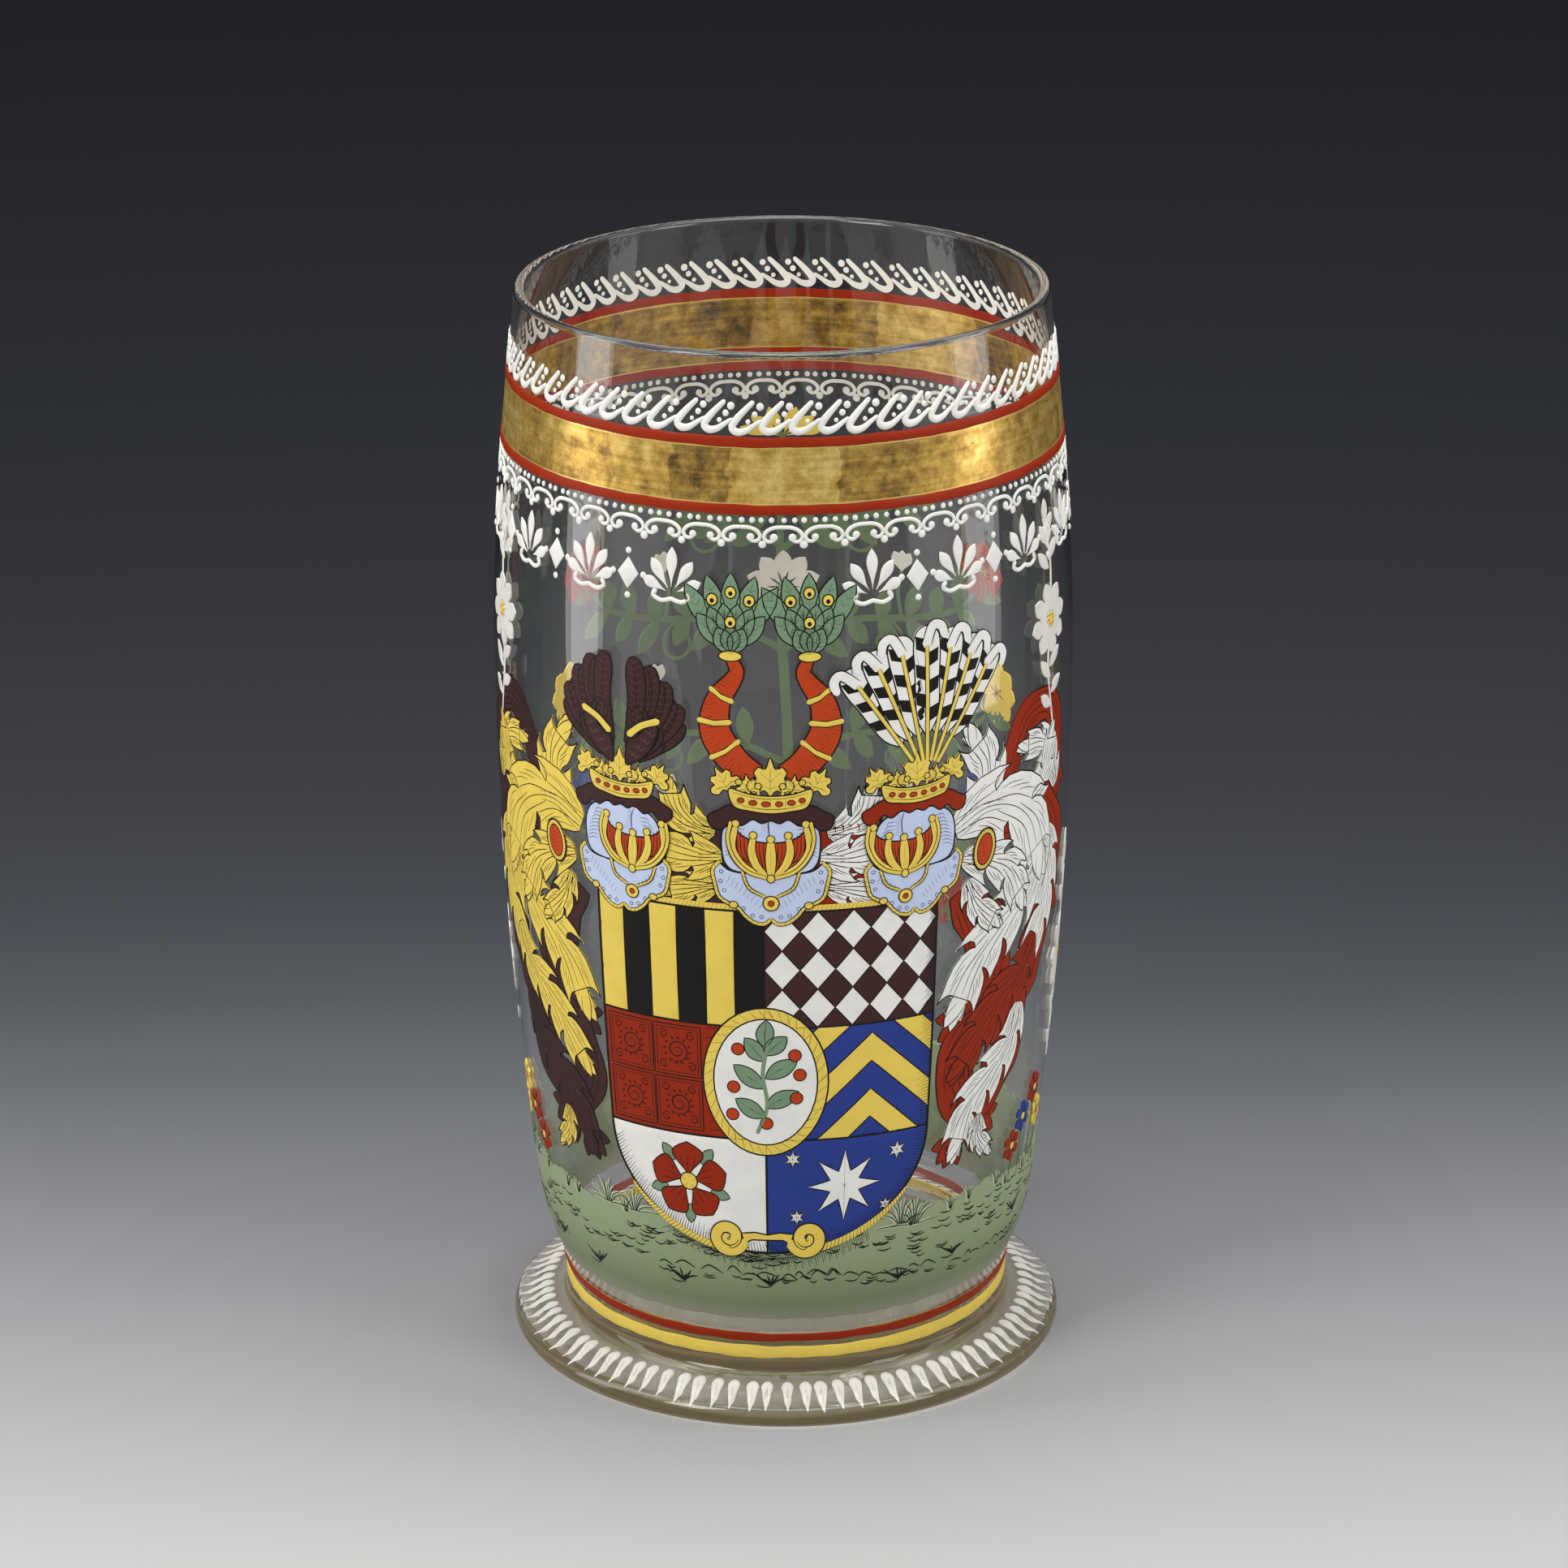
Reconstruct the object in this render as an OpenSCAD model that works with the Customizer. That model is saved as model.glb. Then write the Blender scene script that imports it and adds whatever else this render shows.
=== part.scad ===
// Enamelled glass humpen: a blown barrel beaker on an applied foot, painted all round with
// fired enamels and a gilt band. Millimetres, +Z up, origin under the middle of the foot.

/* [Glass body] */
// Overall height, foot included
height = 260; // [230:1:300]
// Outer diameter at the belly
belly_d = 135.8; // [126:0.2:150]
// Height of the belly above the table
belly_z = 173; // [150:1:190]
// How far the rim stays inside the belly's outline, on each side
rim_inset = 6.3; // [1:0.1:12]
// How far the low shoulder, where the wall turns in towards the foot, stays inside it
shoulder_inset = 8.6; // [6:0.1:11]
// Height of the low shoulder
shoulder_z = 37; // [34:0.5:44]
// How far the neck above the foot stays inside it
neck_inset = 14.6; // [13:0.1:17]
// Thickness of the wall
wall = 2.6; // [2:0.1:4]
// Thickness of the beaker's floor
floor_t = 6; // [4:0.5:10]
// Radius of the corner between floor and wall, inside
corner_r = 8; // [5:0.5:12]

/* [Foot] */
// How far the foot's edge stays inside the belly's outline, on each side
foot_inset = 1.4; // [-6:0.1:2]
// Thickness of the foot's rounded edge
foot_edge_t = 5.4; // [4:0.2:6.6]
// Height of the foot where the body stands on it
foot_h = 8.6; // [7.4:0.2:10]
// How far the body flares out where it is fused to the foot
flare = 1.3; // [0.6:0.1:2]
// Height of that flare
flare_h = 3.2; // [2:0.1:3.6]
// Width of the flat ring that the foot stands on, from the hollow to the edge's rounding
stand_w = 3.4; // [2.6:0.2:12]
// Depth of the hollow under the foot
recess_h = 4; // [1:0.5:4.5]

/* [Bands] */
// Clear glass between the rim and the wave border
rim_clear = 10; // [8:0.5:14]
// Height of the wave border
wave_h = 7.5; // [6.5:0.1:8.5]
// Number of waves round the rim
wave_count = 61; // [56:1:64]
// Clear glass between the wave border and the red line
wave_gap = 1; // [0.6:0.1:2]
// Height of each red line beside the gilding
red_line_h = 2.2; // [1.4:0.1:3]
// Height of the gilt band
gilt_h = 12.9; // [9:0.1:16]
// Diameter of one bead of the bead row
bead_d = 1.3; // [1:0.1:1.6]
// Number of beads
bead_count = 175; // [150:1:190]
// Clear glass above and below the bead row
bead_gap = 0.5; // [0.4:0.1:1.5]
// Height of the lace of scrolls, pendants included
lace_h = 5.2; // [4.8:0.1:5.8]
// Number of scrolls in the lace
lace_count = 45; // [42:1:46]
// Height of the base yellow line
yellow_line_h = 3; // [2:0.1:3.4]
// Height of the base red line
base_red_h = 2.2; // [1.4:0.1:2.8]
// Clear glass under the base yellow line, and between the base lines
base_gap = 1.4; // [0.8:0.1:2]
// Clear glass between the base red line and the green ground
ground_gap = 4.6; // [3:0.1:6]
// Number of petal strokes on the foot
stroke_count = 89; // [70:1:92]
// Clear glass before and after each petal stroke on the foot's slope
stroke_clear = 0.5; // [0.3:0.1:2]
// Width of one petal stroke at its head
stroke_w = 3.3; // [2:0.1:3.4]

/* [Enamel] */
// Thickness of the fired enamel
enamel_t = 0.35; // [0.2:0.05:0.6]
// Thickness of the gilding with its ground coat
gilt_t = 0.12; // [0.08:0.02:0.3]
// Clearance under a flat-backed dot on the round wall
dot_seat = 0.02; // [0.01:0.01:0.05]

/* [Hidden] */

round_fn = 120;
dot_fn = 24;

// Colours of the glass and the enamels
glass_colour = [0.80, 0.84, 0.80, 0.45];
white = [0.91, 0.90, 0.88];
red = [0.67, 0.21, 0.10];
yellow = [0.92, 0.80, 0.37];
brown = [0.29, 0.18, 0.18];
blue = [0.20, 0.28, 0.59];
green = [0.55, 0.63, 0.49];
leaf_green = [0.42, 0.53, 0.40];
steel = [0.65, 0.71, 0.84];
gold = [0.75, 0.59, 0.27];
black = [0.12, 0.11, 0.10];

belly_r = belly_d / 2;
rim_r = belly_r - rim_inset;
shoulder_r = belly_r - shoulder_inset;
neck_r = belly_r - neck_inset;
foot_r = belly_r - foot_inset;
edge_r = foot_edge_t / 2;
edge_c = foot_r - edge_r;
recess_r = edge_c - stand_w;
flare_r = neck_r + flare;
floor_z = foot_h + floor_t;
rim_z = height - wall / 2;
flare_z = foot_h + flare_h;
neck_z = flare_z + yellow_line_h;

// Outline of the wall, from the foot to the rim, as points [radius, height]
function bezier(a, b, c, d, steps) = [
  for (i = [0 : steps])
    let (t = i / steps, k = 1 - t)
    k * k * k * a + 3 * k * k * t * b + 3 * k * t * t * c + t * t * t * d
];
function without_first(list) = [for (i = [1 : len(list) - 1]) list[i]];
function reverse(list) = [for (i = [len(list) - 1 : -1 : 0]) list[i]];

neck_rise = shoulder_z - neck_z;
side_rise = belly_z - shoulder_z;
top_rise = rim_z - belly_z;
flare_curve = bezier(
  [flare_r, foot_h], [neck_r + flare / 4, foot_h + flare_h / 8],
  [neck_r, foot_h + flare_h / 2], [neck_r, flare_z], 5);
neck_curve = bezier(
  [neck_r, neck_z], [neck_r, neck_z + 0.23 * neck_rise],
  [shoulder_r - 0.18 * (shoulder_r - neck_r), shoulder_z - 0.36 * neck_rise],
  [shoulder_r, shoulder_z], 9);
side_curve = bezier(
  [shoulder_r, shoulder_z],
  [shoulder_r + 0.57 * (belly_r - shoulder_r), shoulder_z + 0.29 * side_rise],
  [belly_r, belly_z - 0.38 * side_rise], [belly_r, belly_z], 14);
top_curve = bezier(
  [belly_r, belly_z], [belly_r, belly_z + top_rise / 3],
  [rim_r + 0.455 * (belly_r - rim_r), belly_z + top_rise * 2 / 3], [rim_r, rim_z], 12);
wall_curve = concat(flare_curve, neck_curve, without_first(side_curve), without_first(top_curve));
wall_table = [for (p = wall_curve) [p[1], p[0]]];
function r_at(z) = lookup(z, wall_table);
function slope_at(z) = atan((r_at(z + 1) - r_at(z - 1)) / 2);

// Heights of the bands, stacked down from the rim and up from the foot
wave_top = height - rim_clear;
wave_low = wave_top - wave_h;
upper_red_top = wave_low - wave_gap;
gilt_top = upper_red_top - red_line_h;
gilt_low = gilt_top - gilt_h;
lower_red_low = gilt_low - red_line_h;
bead_z = lower_red_low - bead_gap - bead_d / 2;
lace_top = bead_z - bead_d / 2 - bead_gap;
lace_low = lace_top - lace_h;
yellow_low = flare_z + base_gap / 2;
base_red_low = yellow_low + yellow_line_h + base_gap;
ground_low = base_red_low + base_red_h + ground_gap;

// The art between the bands is drawn on the unrolled wall: x runs along the wall, to the right of
// the front, at the art radius, and y runs up between two art heights that fit the clear field
art_r = 67;
art_low = 24;
art_high = 216.5;
art_round = 2 * PI * art_r;
function art_z(y) = ground_low + (y - art_low) * (lace_low - ground_low) / (art_high - art_low);
function turn(x) = x / art_r * 180 / PI;

// Shapes on the unrolled wall
function moved(points, at) = [for (p = points) p + at];
function spun(points, angle) = [
  for (p = points)
    [p[0] * cos(angle) - p[1] * sin(angle), p[0] * sin(angle) + p[1] * cos(angle)]
];
function mirrored(points) = [for (p = reverse(points)) [-p[0], p[1]]];
function both_sides(half) = concat(half, mirrored(half));
function oval(width, tall, steps) = [
  for (i = [0 : steps - 1]) [width / 2 * cos(360 * i / steps), tall / 2 * sin(360 * i / steps)]
];
function box_of(x0, y0, x1, y1) = [[x0, y0], [x1, y0], [x1, y1], [x0, y1]];
// A pointed leaf that grows up from its foot at the origin
function leaf(length, width, steps = 5) = concat(
  [for (i = [0 : steps]) [width / 2 * sin(180 * i / steps), length * i / steps]],
  [for (i = [steps - 1 : -1 : 1]) [-width / 2 * sin(180 * i / steps), length * i / steps]]);
// A rosette of leaves whose feet stand on a ring
function rosette(count, ring, length, width) = [
  for (i = [0 : count - 1]) spun(moved(leaf(length, width), [0, ring]), 360 * i / count)
];
// A smooth line through hand-placed points
function smooth(points, steps) = [
  for (i = [0 : len(points) - 2], j = [0 : steps - (i == len(points) - 2 ? 0 : 1)])
    let (
      t = j / steps,
      a = points[max(i - 1, 0)], b = points[i],
      c = points[i + 1], d = points[min(i + 2, len(points) - 1)])
    0.5 * (2 * b + t * (c - a) + t * t * (2 * a - 5 * b + 4 * c - d)
      + t * t * t * (3 * b - a - 3 * c + d))
];
function across(points, i) =
  let (d = points[min(i + 1, len(points) - 1)] - points[max(i - 1, 0)])
  [-d[1], d[0]] / norm(d);
// A brush stroke along a line, as wide as start at its foot, middle halfway and tip at its end
function stroke(line, start, middle, tip, steps = 3) =
  let (
    path = smooth(line, steps),
    last = len(path) - 1,
    half = [for (i = [0 : last]) lookup(i / last, [[0, start], [0.5, middle], [1, tip]]) / 2])
  concat(
    [for (i = [0 : last]) path[i] + half[i] * across(path, i)],
    [for (i = [last : -1 : 0]) path[i] - half[i] * across(path, i)]);

// Enamel work on the wall
function rows_between(z0, z1) = concat(
  [z0], [for (p = wall_curve) if (p[1] > z0 + 0.05 && p[1] < z1 - 0.05) p[1]], [z1]);
module skin(z0, z1, thick)
  rotate_extrude($fn = round_fn)
    polygon(concat(
      [for (z = rows_between(z0, z1)) [r_at(z), z]],
      [for (z = reverse(rows_between(z0, z1))) [r_at(z) + thick, z]]));

// A plate in the form of one art outline, straight out of the wall at x0
module plate(outline, x0)
  rotate([0, 0, turn(x0)])
    rotate([90, 0, 0])
      linear_extrude(belly_r + 10 * enamel_t)
        polygon([
          for (p = outline)
            let (z = art_z(p[1]))
            [r_at(z) * sin(turn(p[0] - x0)), z]
        ]);

// Several outlines painted on the wall as one layer of enamel
module painted(outlines, x0) {
  heights = [for (o = outlines) for (p = o) art_z(p[1])];
  intersection() {
    skin(min(heights) - 1, max(heights) + 1, enamel_t);
    union()
      for (o = outlines)
        plate(o, x0);
  }
}

// Places a small flat-backed stroke or drop of enamel on the wall
module on_wall(x, z)
  rotate([0, 0, turn(x)])
    translate([0, -r_at(z) - dot_seat, z])
      rotate([90 + slope_at(z), 0, 0])
        children();

module drop(x, z, d)
  on_wall(x, z)
    cylinder(d = d, h = enamel_t, $fn = dot_fn);

// Outlines and places of the painted motifs
shield_x = -4.7;
shield_half_w = 41;
shield_top = 131;
shield_low = 43;
shield_turn = 72;
shield_outline = concat(
  [[shield_half_w, shield_top]],
  [for (a = [0 : 15 : 180])
    [shield_half_w * cos(a), shield_turn - (shield_turn - shield_low) * sin(a)]],
  [[-shield_half_w, shield_top]]);
row_low = 73;
row_high = 102;
heart_y = 88;
heart_w = 30;
heart_h = 38;
heart_outline = moved(oval(heart_w, heart_h, 24), [shield_x, heart_y]);
scroll_rise = 0.5;
scroll_outline = moved(both_sides([
  [0, 1], [3, 0.6], [5, -1], [8, -1.2], [11.5, 0.4], [13, 3.4], [12, 6.2], [9, 7],
  [6.6, 5.6], [6, 4.4], [3.5, 4], [0, 3.6]
]), [shield_x, shield_low + scroll_rise]);

helm_half = [
  [0, 0], [4, 1.8], [8, 2.2], [11.5, 5], [13, 9], [13.2, 13], [10.5, 11.6], [8, 12.6],
  [8.8, 17], [9.6, 21], [8.6, 24.6], [5.4, 27], [0, 27.4]
];
helm_y = shield_top - 3.4;
crown_half = [
  [0, 0], [7.6, 0.6], [8, 3.8], [11.4, 5.6], [11.6, 8.6], [8.8, 9], [6.4, 6.4], [4.2, 6.8],
  [3.8, 10], [1.8, 10.4], [0, 12.6]
];
crown_y = helm_y + 28;
side_scale = 0.92;
left_x = -38.5;
centre_x = -3;
right_x = 30.5;
function helm_outline(x, size) = moved(both_sides(helm_half) * size, [x, helm_y]);
function crown_outline(x, size) = moved(both_sides(crown_half) * size, [x, crown_y]);
helms = [
  [left_x, side_scale], [centre_x, 1], [right_x, side_scale]
];

wing_outline = smooth([
  [2.2, 9.6], [5, 13], [10.5, 14], [12.6, 19], [12.2, 26], [11, 33], [9, 27.5], [7.6, 31],
  [6.2, 25], [4.8, 27], [3.8, 20], [2.2, 15], [2.2, 9.6]
], 2);
horn_line = [[4.6, 9.4], [9, 13], [12, 20], [10.6, 27], [7.6, 32], [8.6, 35.5]];
sprig_at = [8.8, 37];
sprig_near = 3.4;
sprig_long = 14;
sprig_w = 3.4;
feather_at = [right_x + 2.5, crown_y + 4.4];
feather_count = 7;
feather_spread = 68;
feather_near = 9;
feather_long = 38;
feather_outline = [
  [0.35, 0], [0.4, 11], [1.7, 16], [2.2, 22], [2.3, 26], [1.4, 28.6], [-1.4, 28.6],
  [-2.3, 26], [-2.2, 22], [-1.7, 16], [-0.4, 11], [-0.35, 0]
];

// Acanthus tongues of the mantling left of the shield: [line, width at foot, halfway, tip]
tongues = [
  [[[-51, 148], [-60, 150], [-70, 153], [-79, 158], [-79, 165], [-71, 168]], 6, 8, 4],
  [[[-51, 142], [-61, 141], [-71, 141], [-81, 143], [-86, 149]], 6, 9, 4],
  [[[-52, 133], [-62, 132], [-72, 128], [-81, 127], [-87, 132]], 5, 9, 4],
  [[[-50, 125], [-58, 121], [-67, 114], [-75, 107], [-83, 106]], 6, 12, 4],
  [[[-57, 114], [-56, 107], [-52, 101], [-48.5, 99]], 6, 8, 3],
  [[[-67, 108], [-65, 98], [-61, 89], [-54, 82], [-48.5, 82]], 8, 10, 4],
  [[[-61, 86], [-62, 77], [-57, 69], [-51, 63], [-51, 58]], 7, 9, 4]
];
mantling_x = -68;
function tongue_outline(t) = stroke(t[0], t[1], t[2], t[3], 2);
left_tongues = [for (t = tongues) tongue_outline(t)];
right_tongues = [for (o = left_tongues) [for (p = reverse(o)) [2 * shield_x - p[0], p[1]]]];

// Palmettes and lozenges of the frieze, on both sides of the middle crest
frieze_y = 204;
frieze_first = 23;
frieze_pitch = 11;
frieze_units = 9;
function frieze_x(k) = frieze_first + k * frieze_pitch;
palmette = [for (a = [-62, -31, 0, 31, 62]) spun(moved(leaf(8.4 - abs(a) / 24, 2.4), [0, 2]), a)];
lozenge = [[0, 1.4], [2.4, 5], [0, 8.6], [-2.4, 5]];

// Flower sprays on the sides and the flowering tree on the back
spray_high = [80, 188];
spray_low = [101, 98];
spray_petals = rosette(8, 2, 7, 3.4);
spray_leaves = [
  for (side = [-1, 1], step = [-16, -11, 11, 16])
    spun(moved(leaf(6, 2.6), [0, abs(step)]), side * 26 + (step < 0 ? 180 : 0))
];
back_x = art_round / 2;
ground_top = 49;
tuft_count = 52;
tuft_h = 2.6;
tuft_gap = 0.3;
trunk_w = 2.4;
trunk_low = ground_top + tuft_h + 0.4;
trunk_top = 206;
branch_rows = [70, 98, 126, 154, 180];
branch_long = [46, 58, 62, 56, 38];
branch_rise = 20;
function branch_end(i) = [branch_long[i], branch_rows[i] + branch_rise];
function branch_line(i) = [
  [trunk_w / 2 + 0.4, branch_rows[i] - 6], [branch_long[i] * 0.3, branch_rows[i] + 1],
  [branch_long[i] * 0.65, branch_rows[i] + 5], [branch_long[i] - 5, branch_rows[i] + branch_rise - 8]
];
function branch_leaves(i) = [
  for (share = [0.28, 0.5, 0.72], side = [-1, 1])
    moved(spun(leaf(9, 4.2), side > 0 ? -20 : -115),
      [branch_long[i] * share, branch_rows[i] + 1 + 5.4 * share + side * 2.6])
];

module glass_body()
  color(glass_colour)
    rotate_extrude($fn = round_fn) {
      corner_z = floor_z + corner_r;
      corner_x = r_at(corner_z) - wall - corner_r;
      inside = [for (p = wall_curve) if (p[1] > corner_z + 0.5 && p[1] < rim_z) [p[0] - wall, p[1]]];
      polygon(concat(
        [[0, foot_h]],
        wall_curve,
        [for (a = [15 : 15 : 180]) [rim_r - wall / 2 + wall / 2 * cos(a), rim_z + wall / 2 * sin(a)]],
        reverse(inside),
        [for (a = [0 : -15 : -90]) [corner_x + corner_r * cos(a), corner_z + corner_r * sin(a)]],
        [[0, floor_z]]));
    }

module foot()
  color(glass_colour)
    rotate_extrude($fn = round_fn)
      polygon(concat(
        bezier([0, recess_h], [recess_r / 2, recess_h], [recess_r * 0.8, recess_h / 2], [recess_r, 0], 6),
        [for (a = [-90 : 15 : 90]) [edge_c + edge_r * cos(a), edge_r + edge_r * sin(a)]],
        [[flare_r, foot_h], [0, foot_h]]));

module band(z0, z1, thick, tint)
  color(tint)
    skin(z0, z1, thick);

module upper_red_line() band(gilt_top, upper_red_top, enamel_t, red);
module gilt_band() band(gilt_low, gilt_top, gilt_t, gold);
module lower_red_line() band(lower_red_low, gilt_low, enamel_t, red);
module base_red_line() band(base_red_low, base_red_low + base_red_h, enamel_t, red);
module base_yellow_line() band(yellow_low, yellow_low + yellow_line_h, enamel_t, yellow);

// Repeats an outline, drawn round its own middle at height z, all round the wall
module border(outline, count, z)
  for (i = [0 : count - 1])
    on_wall(i * art_round / count, z)
      linear_extrude(enamel_t)
        polygon(outline);

wave_scale = wave_h / 8.4;
wave_mid = wave_low + wave_h / 2;
wave_pitch = art_round / wave_count;
wave_line = [[2.4, 3.7], [0, 0.9], [-2.2, -1.7], [-2.4, -3.1], [-1.2, -3.8], [0.6, -3.2], [2.3, -1.7]];
wave_drops = [[0.2, -0.9, 1.2], [2.3, 0.7, 1.5], [4.1, 2.1, 1.7]];

module wave_border()
  color(white)
    border(stroke(wave_line, 1.1, 1.7, 1.1, 2) * wave_scale, wave_count, wave_mid);

module wave_dots()
  color(white)
    for (i = [0 : wave_count - 1], w = wave_drops)
      drop(i * wave_pitch + w[0] * wave_scale, wave_mid + w[1] * wave_scale, w[2] * wave_scale);

module bead_row()
  color(white)
    for (i = [0 : bead_count - 1])
      drop(i * art_round / bead_count, bead_z, bead_d);

lace_scale = lace_h / 5.2;
lace_line = [[-2.3, -0.3], [-2.7, -1.2], [-3.6, -1.2], [-4, -0.2], [-3.2, 0.9], [0, 1.2]];
lace_mid = lace_top - 1.7 * lace_scale;
pendant_d = 1.8;

module lace_scrolls()
  color(white)
    border(
      stroke(concat(lace_line, without_first([for (p = reverse(lace_line)) [-p[0], p[1]]])), 1, 0.9, 1, 2)
        * lace_scale,
      lace_count, lace_mid);

module lace_pendants()
  color(white)
    for (i = [0 : lace_count - 1])
      drop((i + 0.5) * art_round / lace_count, lace_low + pendant_d / 2 * lace_scale, pendant_d * lace_scale);

module frieze_palmettes()
  color(white)
    for (k = [0 : 2 : frieze_units - 1], side = [-1, 1])
      let (x = shield_x + 2 + side * frieze_x(k))
      painted([for (o = palmette) moved(o, [x, frieze_y])], x);

module frieze_lozenges()
  color(white)
    for (k = [1 : 2 : frieze_units - 1], side = [-1, 1])
      let (x = shield_x + 2 + side * frieze_x(k)) {
        painted([moved(lozenge, [x, frieze_y])], x);
        for (y = [-0.4, 10.4])
          drop(x, art_z(frieze_y + y), 1.4);
        for (beside = [-3.6, 3.6])
          drop(x + beside, art_z(frieze_y + 5), 1.4);
      }

// One field of the shield: the cell that lies inside the shield and clear of what is painted over it
module field(x0, y0, x1, y1)
  difference() {
    intersection() {
      skin(art_z(shield_low) - 1, art_z(shield_top) + 1, enamel_t);
      plate(moved(shield_outline, [shield_x, 0]), shield_x);
      plate(box_of(x0, y0, x1, y1), shield_x);
    }
    plate(heart_outline, shield_x);
    plate(scroll_outline, shield_x);
    for (h = helms)
      plate(helm_outline(h[0], h[1]), h[0]);
  }

field_left = shield_x - shield_half_w - 1;
field_right = shield_x + shield_half_w + 1;
stripe_count = 6;
stripe_w = shield_half_w / stripe_count;

// Upright stripes of the first field, every other one from the given start
module stripes(first)
  for (k = [first : 2 : stripe_count - 1])
    field(
      k == 0 ? field_left : shield_x - shield_half_w + k * stripe_w, row_high,
      shield_x - shield_half_w + (k + 1) * stripe_w, shield_top + 1);
module shield_stripes() color(yellow) stripes(0);
module shield_pales() color(black) stripes(1);
module shield_lozenges() color(white) field(shield_x, row_high, field_right, shield_top + 1);
module shield_diaper() color(red) field(field_left, row_low, shield_x, row_high);
module shield_chevrons() color(blue) field(shield_x, row_low, field_right, row_high);
module shield_rose() color(white) field(field_left, shield_low - 1, shield_x, row_low);
module shield_star() color(blue) field(shield_x, shield_low - 1, field_right, row_low);
module shield_heart() color(white) painted([heart_outline], shield_x);
module shield_scroll() color(yellow) painted([scroll_outline], shield_x);

module helm(h) color(steel) painted([helm_outline(h[0], h[1])], h[0]);
module helm_left() helm(helms[0]);
module helm_centre() helm(helms[1]);
module helm_right() helm(helms[2]);

module crown(h) color(yellow) painted([crown_outline(h[0], h[1])], h[0]);
module crown_left() crown(helms[0]);
module crown_centre() crown(helms[1]);
module crown_right() crown(helms[2]);

module crest_wings()
  color(brown)
    difference() {
      painted(
        [for (o = [wing_outline, mirrored(wing_outline)]) moved(o * side_scale, [left_x, crown_y])], left_x);
      plate(crown_outline(left_x, side_scale), left_x);
    }

module crest_horns()
  color(red)
    difference() {
      painted(
        [for (o = [stroke(horn_line, 5, 8, 4), mirrored(stroke(horn_line, 5, 8, 4))])
          moved(o, [centre_x, crown_y])],
        centre_x);
      plate(crown_outline(centre_x, 1), centre_x);
    }

module crest_sprigs()
  color(leaf_green)
    painted(
      [for (side = [-1, 1], a = [-28, -14, 0, 14, 28])
        moved(spun(moved(leaf(sprig_long, sprig_w), [0, sprig_near]), a),
          [centre_x + side * sprig_at[0], crown_y + sprig_at[1]])],
      centre_x);

module crest_feathers()
  color(white)
    painted(
      [for (i = [0 : feather_count - 1])
        let (
          a = feather_spread * (i / (feather_count - 1) - 0.5),
          size = (feather_long - abs(a) / 12 - feather_near) / 28.6)
        moved(spun(moved(feather_outline * [[1, 0], [0, size]], [0, feather_near]), a), feather_at)],
      right_x);

module mantling(outlines, x0)
  difference() {
    painted(outlines, x0);
    plate(moved(shield_outline, [shield_x, 0]), shield_x);
    for (h = helms)
      plate(helm_outline(h[0], h[1]), h[0]);
  }
module mantling_left() color(yellow) mantling(left_tongues, mantling_x);
module mantling_right() color(white) mantling(right_tongues, 2 * shield_x - mantling_x);

module spray(side)
  color(white)
    for (at = [spray_high, spray_low])
      let (x = shield_x + side * at[0])
      painted([for (o = concat(spray_petals, spray_leaves)) moved(o, [x, at[1]])], x);
module spray_left() spray(-1);
module spray_right() spray(1);

module tree_stems()
  color(leaf_green) {
    painted([box_of(back_x - trunk_w / 2, trunk_low, back_x + trunk_w / 2, trunk_top)], back_x);
    for (i = [0 : len(branch_rows) - 1], side = [-1, 1])
      let (line = stroke(branch_line(i), 1.6, 1.5, 1, 4))
      painted([moved(side > 0 ? line : mirrored(line), [back_x, 0])], back_x + side * branch_long[i] / 2);
  }

module tree_leaves()
  color(leaf_green)
    for (i = [0 : len(branch_rows) - 1], side = [-1, 1])
      painted(
        [for (o = branch_leaves(i)) moved(side > 0 ? o : mirrored(o), [back_x, 0])],
        back_x + side * branch_long[i] / 2);

// Rosettes at the ends of the branches in some rows
module blossoms(rows, petals)
  for (i = rows, side = [-1, 1])
    let (at = branch_end(i), x = back_x + side * at[0])
    painted([for (o = petals) moved(o, [x, at[1]])], x);

module blossoms_red() color(red) blossoms([0, 3], rosette(6, 1.4, 6, 4));
module blossoms_blue() color(blue) blossoms([1, 4], rosette(6, 1.4, 5.4, 3.6));
module blossoms_yellow()
  color(yellow) {
    blossoms([2], rosette(8, 1.6, 6, 3));
    painted(
      [for (a = [-60, -30, 0, 30, 60]) moved(spun(moved(leaf(9, 3), [0, 2]), a), [back_x, trunk_top + 0.5])],
      back_x);
  }

module ground()
  color(green)
    difference() {
      skin(ground_low, art_z(ground_top), enamel_t);
      plate(moved(shield_outline, [shield_x, 0]), shield_x);
      plate(scroll_outline, shield_x);
    }

// Tufts along the top of the ground, left out where the shield stands
module grass_tufts()
  color(green)
    for (i = [0 : tuft_count - 1])
      let (
        x = i * art_round / tuft_count,
        w = PI * r_at(art_z(ground_top)) / tuft_count - tuft_gap,
        from_shield = abs((x - shield_x + art_round / 2) % art_round - art_round / 2))
      if (from_shield > shield_half_w + w)
        on_wall(x, art_z(ground_top) + tuft_h / 2)
          linear_extrude(enamel_t)
            polygon([
              [-w, -tuft_h / 2], [w, -tuft_h / 2], [0.8 * w, tuft_h * 0.2], [0.4 * w, -tuft_h * 0.1],
              [0, tuft_h / 2], [-0.4 * w, -tuft_h * 0.1], [-0.8 * w, tuft_h * 0.2]
            ]);

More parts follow.
